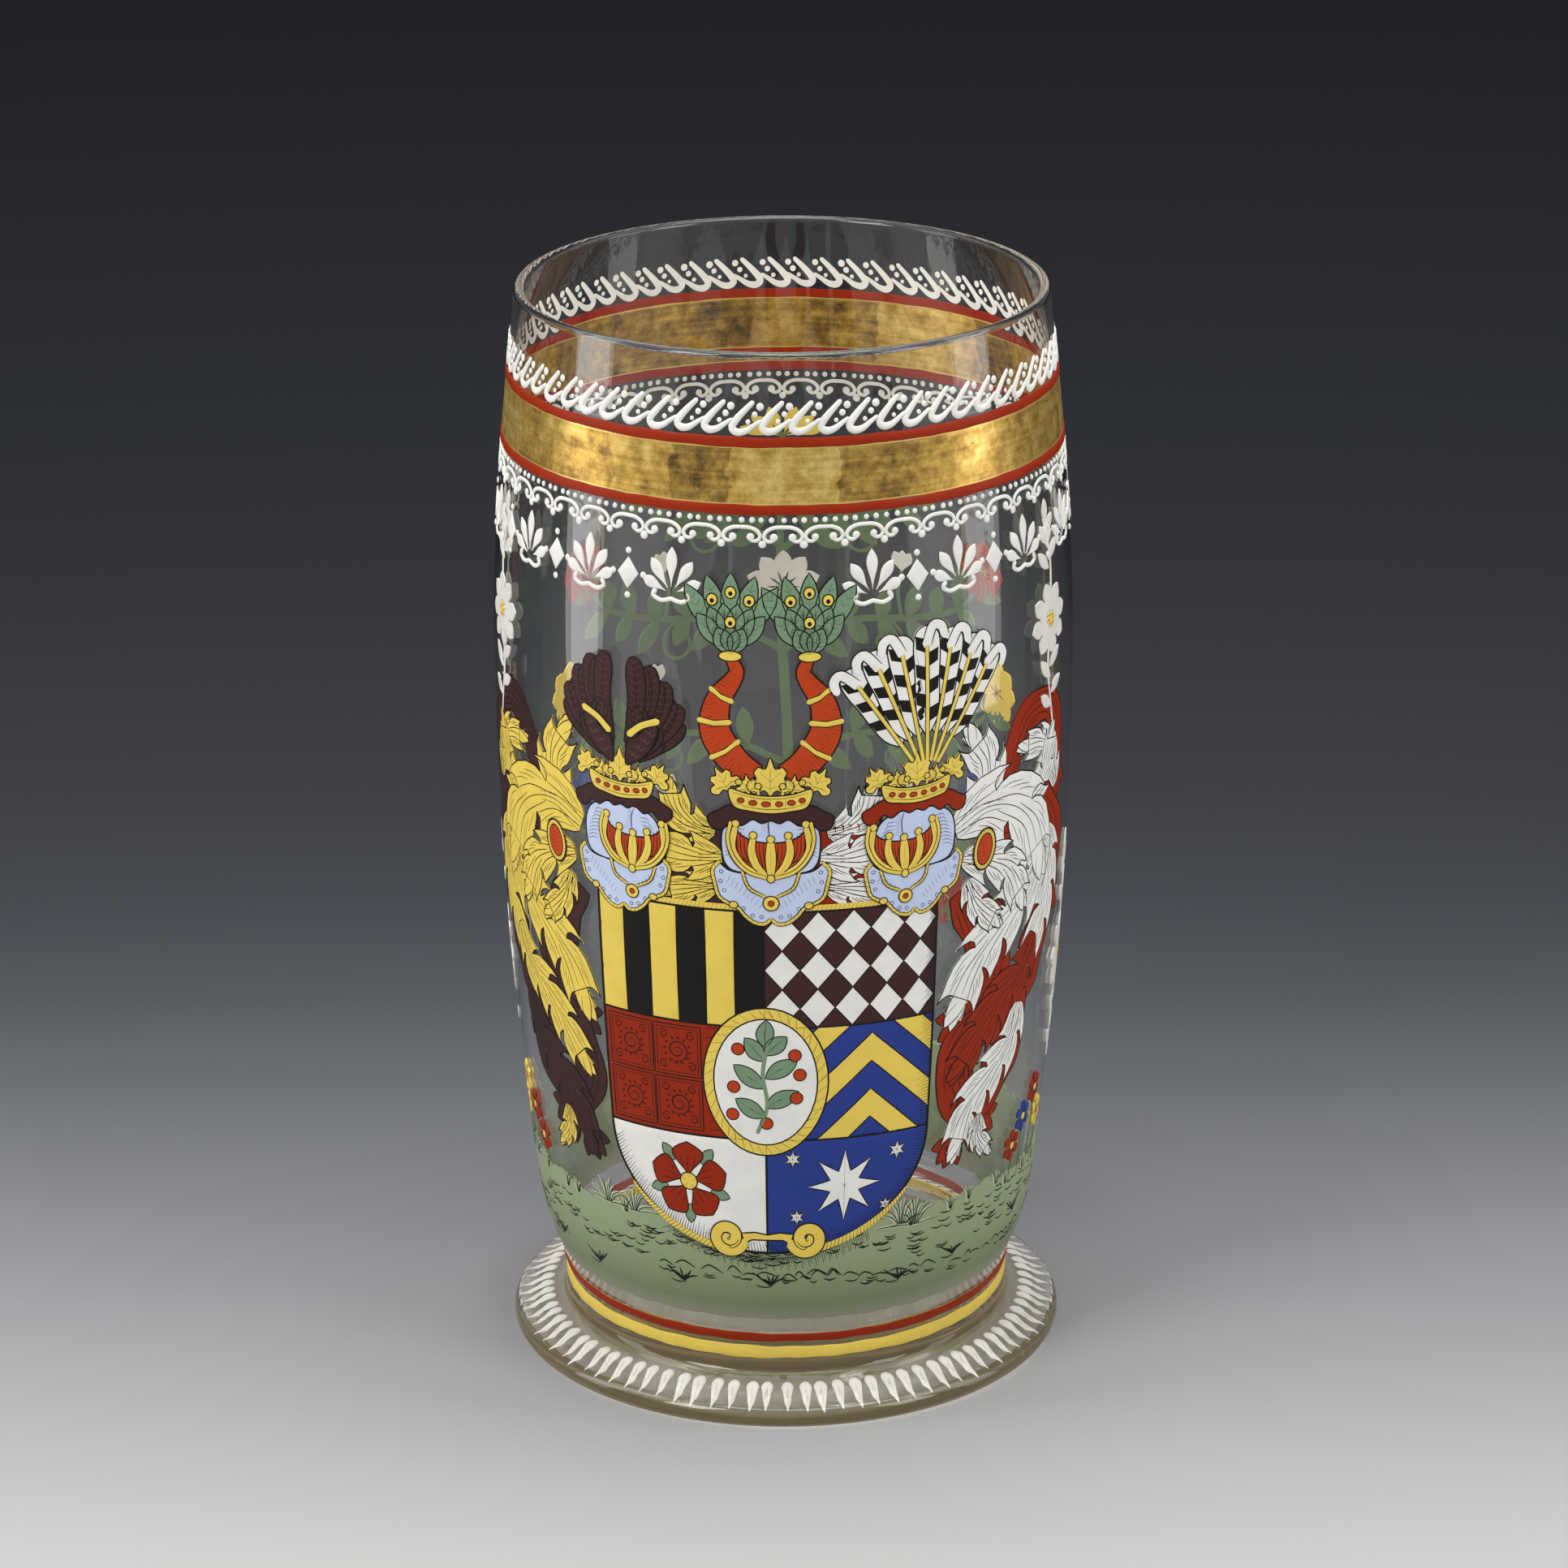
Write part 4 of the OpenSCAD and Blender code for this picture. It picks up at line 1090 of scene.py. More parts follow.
# Leaves: line on the right of the shield and width, then those between the helms
MANTLING_FACES = (
    ([(84.5, 146), (82, 154), (76, 159.5), (69.5, 160.5)], 8.1),
    ([(63, 145), (72, 147.5), (78.5, 152), (81, 159)], 7.7),
    ([(50, 147), (54, 153.5), (55, 160), (51.5, 166)], 10.8),
    ([(80, 137), (83, 127), (81, 117), (75, 108.5)], 11.7),
    ([(79, 138), (76, 130), (69, 123), (60.5, 117.5), (53, 111), (48.8, 103)], 13.5),
    ([(45.5, 146), (55, 149.5), (64, 147.5), (72, 141), (75.5, 133)], 16.2),
    ([(48, 138.5), (56.5, 136), (64, 131.5), (68, 124.5)], 9.9),
    ([(49.5, 133), (53, 126), (58.5, 121)], 7.2),
    ([(76, 112), (71, 104), (63, 99.5), (56, 93), (50.5, 86.5)], 10.8),
    ([(71, 96), (68.5, 87), (61, 80.5), (54, 74), (51, 66)], 10.8),
    ([(58, 71), (58.5, 65), (62, 61)], 5.9),
)
MIDDLE_FACES = (
    ([(12.5, 150), (17, 151), (21, 154), (22.5, 158.5)], 7.5),
    ([(12, 137), (17, 136), (23.5, 134.5)], 7),
    ([(11, 144), (17, 143.5), (24.5, 144.5)], 10),
)
MIDDLE_LINING = ((10, 132.4), (25.5, 132.4), (26, 139), (25, 147), (26, 152), (10, 152))
DRAPE = (
    (0, -2.2), (2.0, -2.9), (4.0, -2.0), (6.6, -3.6), (8.8, -2.6), (10.6, -4.6), (13.2, -4.4), (14.2, -1.8),
    (12, -0.4), (8.4, 1.4), (0, 1.4),
)
# Outline of one lobe at a leaf's side: share of the lobe's length and of half the leaf's width
FROND_LOBE = (
    (0.0, 0.46), (0.08, 0.66), (0.24, 0.87), (0.46, 1.02), (0.72, 1.12), (1.0, 1.2), (1.24, 1.22),
    (1.1, 1.08), (1.0, 0.88), (0.96, 0.66),
)
# Steps of a vein along a leaf
VEIN_STEPS = 30
# Pleats of the lining: share of half its width, and shares of its length where they start and end
PLEATS = ((-0.75, 0.1, 0.5), (-0.5, 0.05, 0.7), (-0.1, 0.15, 0.95), (0.3, 0.3, 0.85), (0.6, 0.45, 0.9))


def heading(way):
    """How far in degrees a shape that grows upwards is turned to grow in a direction."""
    return math.degrees(math.atan2(way.y, way.x)) - 90


def frond(sheet, name, colour, line, wide):
    """One acanthus leaf, whose sides break into lobes that curl forward, with its folds and shading."""
    path = smooth(line)
    along = tangents(path)
    last = len(path) - 1
    half = [wide / 2 * (0.45 + 0.55 * math.sin(math.pi * (0.08 + 0.77 * s)) ** 0.8) for s in shares(path)]
    outer = -1 if along[0].cross(along[-1]) > 0 else 1

    def off(share, across):
        i = min(max(round(share * last), 0), last)
        past = (share - 1) * last * 0.5 if share > 1 else 0
        return path[i] + left_of(along[i]) * across * half[i] + along[i] * past

    for turn, long in ((62, 1.5), (-62, 1.4), (28, 2.0), (-28, 1.9)):
        at = Place(*path[-1], half[-1], heading(along[-1]) + turn, flip=turn < 0)
        sheet.shape(name, colour, at(lobe(long, 0.5), -0.5), 0.34)
        sheet.line(at(smooth([(0.0, 0.2), (0.06, 0.5 * long), (0.2, 0.72 * long)], 0.2)), 0.2)
    edges, marks = [], []
    for side in (1, -1):
        count = max(2, round(last * 0.5 / (wide * (0.72 if side == outer else 0.95))))
        edges.append([off((k + f) / count, side * r) for k in range(count) for f, r in FROND_LOBE])
        for k in range(count):
            folds = [([(k + 1, 0.5), (k + 0.5, 0.34), (k - 0.3, 0.16)], 0.28)]
            folds += [([(k + f - 0.1, 0.48), (k + f + 0.1, 0.64), (k + f + 0.36, 0.8)], 0.2)
                      for f in (0.2, 0.42, 0.62)]
            marks += [([off(f / count, side * r) for f, r in spots], width) for spots, width in folds]
    sheet.shape(name, colour, edges[0] + edges[1][::-1], 0.36)
    for spots, width in marks:
        sheet.line(smooth(spots), width)
    for across, end in ((0.0, 0.97), (0.45, 0.2), (0.25, 0.4), (-0.25, 0.4), (-0.45, 0.2)):
        steps = [(end * k / VEIN_STEPS, 1 - 0.5 * k / VEIN_STEPS) for k in range(VEIN_STEPS + 1)]
        sheet.line([off(share, across * near) for share, near in steps], 0.26 if across == 0 else 0.2)


def ribbon(sheet, name, colour, line, widths):
    """The lining of the mantling: a band that swells in the middle, ends in lobes and shows its pleats."""
    path = smooth(line)
    t, along = shares(path), tangents(path)
    half = []
    for s in t:
        end = widths[0] if s < 0.5 else widths[2]
        half.append((end + (widths[1] - end) * math.sin(math.pi * s)) / 2)
    for turn in (62, -62, 22, -22):
        at = Place(*path[-1], half[-1] + 1.0, heading(along[-1]) + turn, flip=turn < 0)
        sheet.shape(name, colour, at(lobe(1.7, 0.3)), 0.34)
    left, right = (beside(path, [side * h * (1 + 0.1 * math.sin(19 * s + side)) for h, s in zip(half, t)])
                   for side in (1, -1))
    sheet.shape(name, colour, left + right[::-1], 0.4)
    for across, start, end in PLEATS:
        pleat = beside(path, [across * h for h in half])
        sheet.line(pleat[int(start * len(path)):int(end * len(path))], 0.24)


def paint_boss(name, x, y, turn):
    """An almond-shaped boss in a roped rim, which holds the mantling beside an outer helm."""
    level = 7
    lines = pen(name)
    at = Place(x, y, 1, turn)
    rim = at(ellipse(0, 0, 3.4, 5.0, 30))
    outlined(name + "_boss_rim", "yellow", rim, level, name, 0.5)
    outlined(name + "_boss", "orange", at(ellipse(0, 0, 2.3, 3.8, 26)), level + 1, name, 0.34)
    for p, q in zip(rim, rim[1:] + rim[:1]):
        ink(lines, [p.lerp(at.at, 0.04), q.lerp(at.at, 0.2)], 0.2, level)
    for k in range(7):
        ink(lines, at([(-1.7 + 0.2 * abs(k - 3), -2.7 + 0.9 * k), (0.2, -2.5 + 0.9 * k)]), 0.2, level + 1)


def paint_mantling():
    """Yellow leaves lined with brown on the left, white ones lined with red on the right."""
    for word, out in (("left", -1), ("right", 1)):
        name = "mantling_" + word
        face, lining, turned_leaf = MANTLING[word]
        sheet = Sheet(name, -9.5)
        middle = HELMS["centre"][0]
        for line, widths in MANTLING_LININGS:
            ribbon(sheet, name + "_lining", lining, sided(line, out, SHIELD_X), widths)
        sheet.level += 1
        sheet.shape(name + "_lining", lining, sided(MIDDLE_LINING, out, middle), 0.3)
        for line, wide in MIDDLE_FACES:
            frond(sheet, name, face, sided(line, out, middle), wide)
        for k, (line, wide) in enumerate(MANTLING_FACES):
            shown = (name + "_lining", lining) if k == turned_leaf else (name, face)
            frond(sheet, *shown, sided(line, out, SHIELD_X), wide)
        sheet.draw()
        paint_boss(name, SHIELD_X + out * 54.5, 139.5, -out * 8)
    for (x, size, _), word in zip(HELMS.values(), ("left", "left", "right")):
        drape = Place(x, CROWN_Y, size)(curve(both_sides(DRAPE), 0.8, True))
        outlined("mantling_" + word + "_lining", MANTLING[word][1], drape, 7, "mantling_" + word, 0.4)


# Meadow, sprays and the flowering tree

GROUND_TOP = 49.8
GROUND_COLUMNS = 480
GROUND_ROWS = 14
# Level of the lines on the meadow, whose coat is thinner than the others
MEADOW_LEVEL = -1
# Height from which stems grow
STEM_FOOT = 47
# Blossoms of the sprays: distance from the shield's middle, height, size and turn
SPRAY_BLOSSOMS = ((80, 188, 1.0, 10), (101, 98, 1.1, -8))
SPRAY_LEAVES = (
    (-21, 60, 6.5), (-18, -58, 6.5), (-14, 48, 7), (-11.5, -50, 6.5), (12, 52, 7), (14, -50, 7), (18, 40, 6),
    (20.5, -40, 5.5), (23, 4, 5.5),
)
# Small flowers at both sides: distance from the shield's middle, height, colour on the left and on the right
SIDE_FLOWERS = (
    (80, 63, "red", "blue"), (87, 68, "yellow", "red"), (92, 60, "yellow", "yellow"), (75, 57, "red", "red"),
)
# Branches of the tree: height, reach and colour of the blossom
BRANCHES = ((70, 46, "red"), (98, 58, "blue"), (126, 62, "yellow"), (154, 56, "red"), (180, 38, "blue"))


def ground_top(x):
    """Height of the meadow's edge, tufted all round."""
    a = x / ART_R
    rise = 0.9 * math.sin(9 * a + 0.4) + 0.6 * math.sin(23 * a) + 0.5 * math.sin(41 * a + 2)
    return GROUND_TOP + rise + 0.9 * abs(math.sin(52 * a)) ** 0.5


def paint_ground():
    """The green meadow with its drawn grass and tufts."""
    low = heights("ground")[0]
    thick = 0.8 * COAT
    flat = [(share, thick) for share in even(GROUND_ROWS)[1:-1]]

    def edges(a):
        return low + 0.15 * math.sin(31 * a) + 0.1 * math.sin(83 * a), ground_top(ART_R * a)

    belt("ground", "ground", GROUND_COLUMNS, edges,
         [(0, -SINK), (0, thick / 2), *flat, (1, thick / 2), (1, -SINK)])
    paint_meadow_lines()
    paint_tufts()


def flick(x, y, long):
    """A short bowed line, as grass is sketched."""
    line = curve([(x - long / 2, y + 0.3), (x, y - 0.25), (x + long / 2, y + 0.2)], 0.6)
    ink(pen("ground"), line, 0.36, MEADOW_LEVEL)


def scattered(count, loose, low, high):
    """Places spread round the glass, each drawn when it is asked for."""
    for i in range(count):
        yield ART_ROUND * (i + rng.uniform(-loose, loose)) / count, rng.uniform(low, high)


def paint_meadow_lines():
    """Drawn grass: heaps of flicks, rows of humps, dark tufts, and hatching round the shield's foot."""
    lines = pen("ground")
    for x, y in scattered(54, 0.3, 39, 47.5):
        for _ in range(rng.randint(6, 12)):
            flick(x + rng.uniform(-6, 6), y + rng.uniform(-3.4, 1.4), rng.uniform(2.2, 4.6))
    for x, y in scattered(10, 0.2, 31.5, 37):
        for _ in range(rng.randint(6, 10)):
            wide = rng.uniform(1.8, 6.2)
            hump = [(x, y), (x + 0.4 * wide, y + rng.uniform(0.3, 1.8)),
                    (x + wide, y + rng.uniform(-0.6, 0.3))]
            ink(lines, curve(hump, 0.5), 0.4, MEADOW_LEVEL)
            for _ in range(rng.randint(0, 3)):
                flick(x + rng.uniform(0, wide), y + rng.uniform(-2.2, -0.6), rng.uniform(2, 4))
            x, y = x + wide * rng.uniform(0.8, 1.3), y + rng.uniform(-1.0, 0.9)
    for x, y in scattered(16, 0.3, 28, 38):
        for lean in (-4.8, -2.8, -0.9, 0.9, 2.4, 4.2):
            tip = (x + lean, y + rng.uniform(1.6, 3.6))
            blade = curve([(x, y), (x + lean * 0.4, y + 1.3), tip], 0.6)
            ink(lines, blade, 0.5, MEADOW_LEVEL, taper=(1, 0.2))
        flick(x - 1.8, y - 0.4, 4.5)
    for i in range(120):
        p = bow_point(math.radians(38 + 104 * i / 120), 0.5)
        if p.y < 49:
            long = 2.6 + 1.8 * math.sin(2.1 * i) ** 2
            crossing = ((0.4, -0.8), (0.4 - 0.8 * long, -0.55 * long))
            for start, end in (((0, 0), (0.25 * long, -long)), crossing):
                ink(lines, [p + Vector(start), p + Vector(end)], 0.26, MEADOW_LEVEL)


def paint_tufts():
    """Blades of grass along the meadow's edge, three tall tufts beside the shield's foot."""
    spots = [(ART_ROUND * i / 48 + rng.uniform(-2.4, 2.4), rng.random() < 0.3) for i in range(48)]
    spots = [(x, big) for x, big in spots
             if abs((x - SHIELD_X + ART_ROUND / 2) % ART_ROUND - ART_ROUND / 2) > SHIELD_HALF - 8]
    for x, big in spots + [(SHIELD_X - 37, True), (SHIELD_X + 35, True), (SHIELD_X + 39, True)]:
        y = ground_top(x) - 2.2
        blades, apart, high = (11, 1.4, 6.6) if big else (5, 0.9, 3.6)
        for k in range(blades):
            lean = (k - blades // 2) * apart + rng.uniform(-0.3, 0.3)
            tall = high * rng.uniform(0.75, 1.1) - 0.1 * lean * lean
            way = [(x + lean * 0.15, y), (x + lean * 0.5, y + tall * 0.7), (x + lean, y + tall)]
            blade = curve(way, 0.6)
            stroke(coat("grass_tufts", "ground_light"), blade, 1.0, level=1, high=0.05, taper=(1, 0.3))
            ink(pen("ground"), [p + Vector((0.4, 0)) for p in blade], 0.32, 3, taper=(1, 0.4))


def flower(name, x, y, petals, long, wide, colour, shading, level, turn=0.0):
    """An open flower with shaded petals and a round heart."""
    shade = coat("shade_" + shading + "_" + colour, "shade_" + colour)
    for i in range(petals):
        at = Place(x, y, 1, turn + 360 * i / petals)
        area(coat(name, colour), at(petal(long, wide), 0.6), level)
        ink(shade, at([(0, long * 0.3), (0.2, long * 0.8)]), 0.3, level)
        ink(shade, at([(0.6, long * 0.35), (0.9, long * 0.7)]), 0.24, level)
    heart = coat(name + "_heart", "orange" if colour == "yellow" else "yellow")
    drop(heart, x, y, long * 0.52, level + 1, 0.1)


def paint_sprays():
    """White blossoms with little leaves on both sides, above and below the mantling's tips."""
    for side, word in ((-1, "left"), (1, "right")):
        name = "spray_" + word
        for out, y, size, turn in SPRAY_BLOSSOMS:
            x = SHIELD_X + side * out
            white = coat(name, "white_thin")
            stem = [(1.5, -25 * size), (-1.2, -12), (0, 0), (1.4, 13), (-1.4, 24 * size)]
            stroke(white, curve(Place(x, y)(sided(stem, side)), 1.0), 0.9, high=0.2)
            for up, a, long in SPRAY_LEAVES:
                at = Place(x + side * 0.4 * math.sin(up * 0.2), y + up * size, size, a)
                area(white, at(leaf(long, 2.9, 0.5)))
            for level, start, long, wide, near in ((1, turn, 7.4, 4.2, 1.4), (2, turn + 22, 4.6, 2.6, 0.8)):
                for i in range(8):
                    area(white, Place(x, y, size, start + 45 * i)(petal(long, wide), near), level)
            drop(coat(name + "_heart", "yellow"), x, y, 3.4 * size, 3, 0.12)
            for seed in ellipse(x, y, 1.1, 1.1, 6):
                drop(coat(name + "_seed", "orange"), *seed, 0.7, 5, 0.12, 8)
        for out, y, *colours in SIDE_FLOWERS:
            x = SHIELD_X + side * out
            colour = colours[side > 0]
            stem = curve([(x, STEM_FOOT), (x + 0.6, (STEM_FOOT + y) / 2), (x, y)], 1.0)
            stroke(coat(name + "_stem", "leaf_thin"), stem, 0.8)
            flower(name + "_" + colour, x, y, 6, 3.6, 2.5, colour, word, 1)


def tree_leaf(at, size, side):
    """One leaf of the tree with its veins, bent to one side."""
    area(coat("tree_leaves", "leaf_thin"), at(leaf(size, 4.6, -side * 0.9), 0.6), 1)
    shade = coat("shade_back_leaf", "shade_leaf")
    ink(shade, at([(0, 1), (0, size * 0.5), (-side * 0.7, size * 0.92)]), 0.34, 1)
    for share in (0.35, 0.6):
        for out in (-1, 1):
            ink(shade, at([(0, size * share), (out * 1.3, size * share + 1.3)]), 0.22, 1)


def paint_tree():
    """A flowering tree on the back, with pairs of branches that end in blossoms."""
    mid = ART_ROUND / 2
    stems = coat("tree_stems", "leaf_thin")
    trunk = [(mid, STEM_FOOT), (mid + 1.2, 80), (mid - 1.0, 120), (mid + 0.8, 160), (mid, 205)]
    stroke(stems, curve(trunk, 1.2), 2.6, high=0.24, taper=(1, 0.5))
    for y, reach, colour in BRANCHES:
        for side in (-1, 1):
            way = [(0, -7), (0.3, 1), (0.62, 4), (0.88, 10), (1, 20)]
            line = curve([(mid + side * reach * share, y + up) for share, up in way], 1.0)
            stroke(stems, line, 1.7, high=0.22, taper=(1, 0.5))
            along = tangents(line)
            n = len(line)
            for k, share in enumerate((0.16, 0.28, 0.4, 0.52, 0.64, 0.76, 0.88)):
                j = int(share * n)
                for s in (-1, 1):
                    size = 9.5 if (k + (s > 0)) % 2 else 7.0
                    tree_leaf(Place(*line[j], 1, heading(along[j]) + s * 52), size, s)
            fork = line[int(0.45 * n)]
            stroke(stems, spiral(fork.x, fork.y - 6, 5.4, 0.8, 90, -side * 1.3, 24), 0.9, high=0.2)
            flower("blossoms_" + colour, *line[-1], 8, 7.4, 5.0, colour, "back", 1)
            flower("blossoms_" + colour, *line[-1], 6, 4.4, 3.0, colour, "back", 2, 20)
            bud = Vector((mid + side * reach * 0.55, y + 15))
            stroke(stems, curve([line[int(0.5 * n)], (bud.x - side, bud.y - 5), bud], 0.8), 1.0)
            for a in (-24, 0, 24):
                area(coat("tree_buds", "white_thin"), Place(*bud, 1, a)(petal(5.6, 2.8)), 1)
    for a in (-72, -44, -18, 18, 44, 72):
        at = Place(mid, 204, 1, a)
        area(coat("blossoms_yellow", "yellow"), at(petal(10.5, 3.6), 0.8), 1)
        ink(coat("shade_back_yellow", "shade_yellow"), at([(0, 2.5), (0.2, 8.6)]), 0.4, 1)
    flower("tree_crown", mid, 163, 10, 9, 4.4, "white_thin", "back", 1)


# Petal strokes on the foot

FOOT_STROKES = 89
# Distance of a stroke from the body, its length, width and thickness, and how far along it is widest
PETAL_NEAR = 2.1
PETAL_LONG = 8.1
PETAL_WIDE = 3.1
PETAL_HIGH = 0.4
PETAL_HEAD = 0.27
PETAL_SIDES = 24
PETAL_RINGS = ((1, 0), (0.88, 0.6), (0.5, 0.94))


def foot_slope():
    """Radius where the foot's top leaves the body, and radius and height where its rounded edge starts."""
    rings = rings_of("foot")
    top = max(z for z, _, _ in rings)
    start = max(high for z, _, high in rings if z == top)
    z, r = max((z, high) for z, _, high in rings if z < top - 0.5)
    return start, r, z


SLOPE_START, EDGE_START, EDGE_TOP = foot_slope()


def foot_space(x, y, lift):
    """A point of the foot's top, x round the foot and y outwards from the body, over its rounded edge."""
    a = x / ART_R
    r = SLOPE_START + y
    round_r = EDGE_TOP / 2
    if r <= EDGE_START:
        z = FOOT_TOP + (EDGE_TOP - FOOT_TOP) * y / (EDGE_START - SLOPE_START)
    else:
        z = round_r + math.sqrt(max(0.0, round_r ** 2 - (r - EDGE_START) ** 2))
    return (r * math.sin(a) * MM, -r * math.cos(a) * MM, (z + lift) * MM)


def petal_ring(x, size, share, up):
    """One ring of a stroke on the foot, drawn in towards the head by its share."""
    ring = []
    for j, a in enumerate(turns(PETAL_SIDES)):
        y = (1 - math.cos(a)) / 2
        if y < PETAL_HEAD:
            slim = math.sqrt(max(0.0, 1 - ((PETAL_HEAD - y) / PETAL_HEAD) ** 2))
            along = PETAL_HEAD + (y - PETAL_HEAD) * share
        else:
            slim = ((1 - y) / (1 - PETAL_HEAD)) ** 1.1
            along = PETAL_HEAD + (y - PETAL_HEAD) * (1 - 0.35 * (1 - share))
        side = 0 if j % (PETAL_SIDES // 2) == 0 else math.copysign(1, math.sin(a))
        across = (0.07 + 0.93 * slim) * side * share * PETAL_WIDE / 2 * size
        out_r = SLOPE_START + PETAL_NEAR + PETAL_LONG * along
        lift = -SINK + (PETAL_HIGH + SINK) * up
        ring.append((x + across * ART_R / out_r, PETAL_NEAR + PETAL_LONG * size * along, lift))
    return ring


def paint_foot():
    """Drop-shaped strokes round the foot, the head towards the body and the tip at the rounded edge."""
    target = Coat(foot_space)
    for i in range(FOOT_STROKES):
        x = ART_ROUND * (i + rng.uniform(-0.1, 0.1)) / FOOT_STROKES
        size = rng.uniform(0.9, 1.05)
        rings = [petal_ring(x, size, share, up) for share, up in PETAL_RINGS]
        dome(target, rings, (x, PETAL_NEAR + PETAL_LONG * size * PETAL_HEAD, PETAL_HIGH))
    coats["foot_strokes"] = (target, "white_thin")


# Materials

# Tones of each kind of enamel, grouped by kind
COLOURS = {
    "white_enamel": {
        "white": (238, 235, 228), "white_thin": (224, 220, 212), "shade_white_thin": (160, 158, 154),
    },
    "red_enamel": {"red": (152, 42, 10), "orange": (190, 66, 26), "shade_red": (100, 26, 14)},
    "yellow_enamel": {"yellow": (236, 206, 92), "shade_yellow": (190, 140, 48)},
    "brown_enamel": {"brown": (64, 39, 38), "shade_brown": (104, 70, 62)},
    "black_enamel": {"black": (26, 24, 22)},
    "blue_enamel": {"blue": (44, 62, 140), "shade_blue": (26, 38, 96)},
    "steel_blue_enamel": {"steel": (198, 210, 236)},
    "leaf_green_enamel": {"leaf": (122, 150, 118), "leaf_thin": (98, 122, 84), "shade_leaf": (62, 84, 58)},
    "ground_green_enamel": {"ground_light": (180, 192, 158)},
}
# Gloss of enamel, and shares of its colour over the noise that clouds it
ENAMEL_GLOSS = 0.14
ENAMEL_CLOUD = ((0.3, 0.93), (0.55, 1), (0.8, 1.04))
# The meadow's tones from its lower edge upwards, with painted shade that darkens them low down, where they
# start above the edge and the height they span
MEADOW_PAINTED_SHADE_TONES = (
    (0.0, (150, 145, 129)), (0.08, (138, 144, 118)), (0.2, (126, 137, 106)), (0.6, (140, 153, 117)),
    (1.0, (150, 163, 126)),
)
MEADOW_EDGE = 0.0008
MEADOW_SPAN = 0.022
GOLD_TONES = ((0.41, (96, 76, 44)), (0.5, (164, 128, 62)), (0.59, (216, 174, 84)), (0.71, (255, 226, 138)))
# Painted highlight: paler gold along both edges of the gilt band
GOLD_EDGE_HIGHLIGHT = (242, 208, 118)
GOLD_CHIP = (56, 46, 34)
# Leaves of gold on one radian of the band
GOLD_LEAVES = 4.2
# Matt share of the glass under the foot, its colour, and the height below which it lies
MATT_SHARE = 0.21
MATT_TONE = (172, 160, 130)
MATT_TOP = 0.0045
# Span and tones of the floor by distance behind the object: a painted falloff of the studio light, darker
# further back
FLOOR_NEAR = -0.4
FLOOR_FAR = 1.6
FLOOR_FALLOFF_TONES = (
    (-0.40, (196, 196, 194)), (-0.13, (184, 184, 182)), (-0.04, (159, 159, 159)), (0.014, (142, 142, 145)),
    (0.072, (125, 126, 130)), (0.135, (103, 105, 109)), (0.204, (81, 84, 88)), (0.279, (69, 71, 76)),
    (0.361, (63, 64, 68)), (0.551, (56, 57, 61)), (0.787, (52, 54, 58)), (1.60, (48, 48, 51)),
)


def linear(rgb):
    """A colour written as 0 to 255 screen values, in linear light."""
    return tuple(((c / 255 + 0.055) / 1.055) ** 2.4 if c > 10 else c / 255 / 12.92 for c in rgb)


def toned(stops):
    """Stops of screen colours in linear light."""
    return [(at, linear(rgb)) for at, rgb in stops]


class Look:
    """A new material, with short calls for the nodes that the materials share."""

    def __init__(self, name):
        self.mat = bpy.data.materials.new(name)
        self.mat.use_nodes = True
        self.nodes, self.links = self.mat.node_tree.nodes, self.mat.node_tree.links
        self.shader, self.out = self.nodes["Principled BSDF"], self.nodes["Material Output"]

    def put(self, node, inputs):
        """Links each input to a socket, or sets it to a value."""
        for key, value in inputs.items():
            if isinstance(value, bpy.types.NodeSocket):
                self.links.new(value, node.inputs[key])
            else:
                node.inputs[key].default_value = value

    def node(self, kind, inputs, **settings):
        """The outputs of a new node."""
        made = self.nodes.new("ShaderNode" + kind)
        for key, value in settings.items():
            setattr(made, key, value)
        self.put(made, inputs)
        return made.outputs

    def where(self):
        return self.node("TexCoord", {})["Object"]

    def axes(self, vector):
        return self.node("SeparateXYZ", {0: vector})

    def noise(self, vector, scale, detail, rough=0.55):
        inputs = {"Vector": vector, "Scale": scale, "Detail": detail, "Roughness": rough}
        return self.node("TexNoise", inputs)["Fac"]

    def calc(self, operation, *values):
        """One arithmetic step on sockets and plain numbers."""
        return self.node("Math", dict(enumerate(values)), operation=operation)[0]

    def spread(self, value, low, high, start=0.3, end=0.7):
        inputs = {"Value": value, "From Min": start, "From Max": end, "To Min": low, "To Max": high}
        return self.node("MapRange", inputs)["Result"]

    def bump(self, value, strength, distance):
        return self.node("Bump", {"Height": value, "Strength": strength, "Distance": distance})["Normal"]

    def mixed(self, factor, colour, other):
        """A colour socket blended into a fixed screen colour by a factor socket."""
        return self.node("Mix", {0: factor, 6: colour, 7: (*linear(other), 1)}, data_type="RGBA")[2]

    def ramp(self, value, stops):
        made = self.nodes.new("ShaderNodeValToRGB")
        elements = made.color_ramp.elements
        while len(elements) < len(stops):
            elements.new(0.5)
        for element, (at, colour) in zip(elements, stops):
            element.position = at
            element.color = (*colour, 1)
        self.put(made, {"Fac": value})
        return made.outputs["Color"]


def enamel(name, rgb):
    """Fired enamel: an almost even colour and a satin skin."""
    look = Look(name)
    cloud = look.noise(look.where(), 150, 3)
    c = linear(rgb)
    stops = [(at, tuple(min(1, share * v) for v in c)) for at, share in ENAMEL_CLOUD]
    look.put(look.shader, {"Base Color": look.ramp(cloud, stops),
                           "Roughness": look.spread(cloud, 0.4, 0.52), "Specular IOR Level": ENAMEL_GLOSS})
    return look.mat


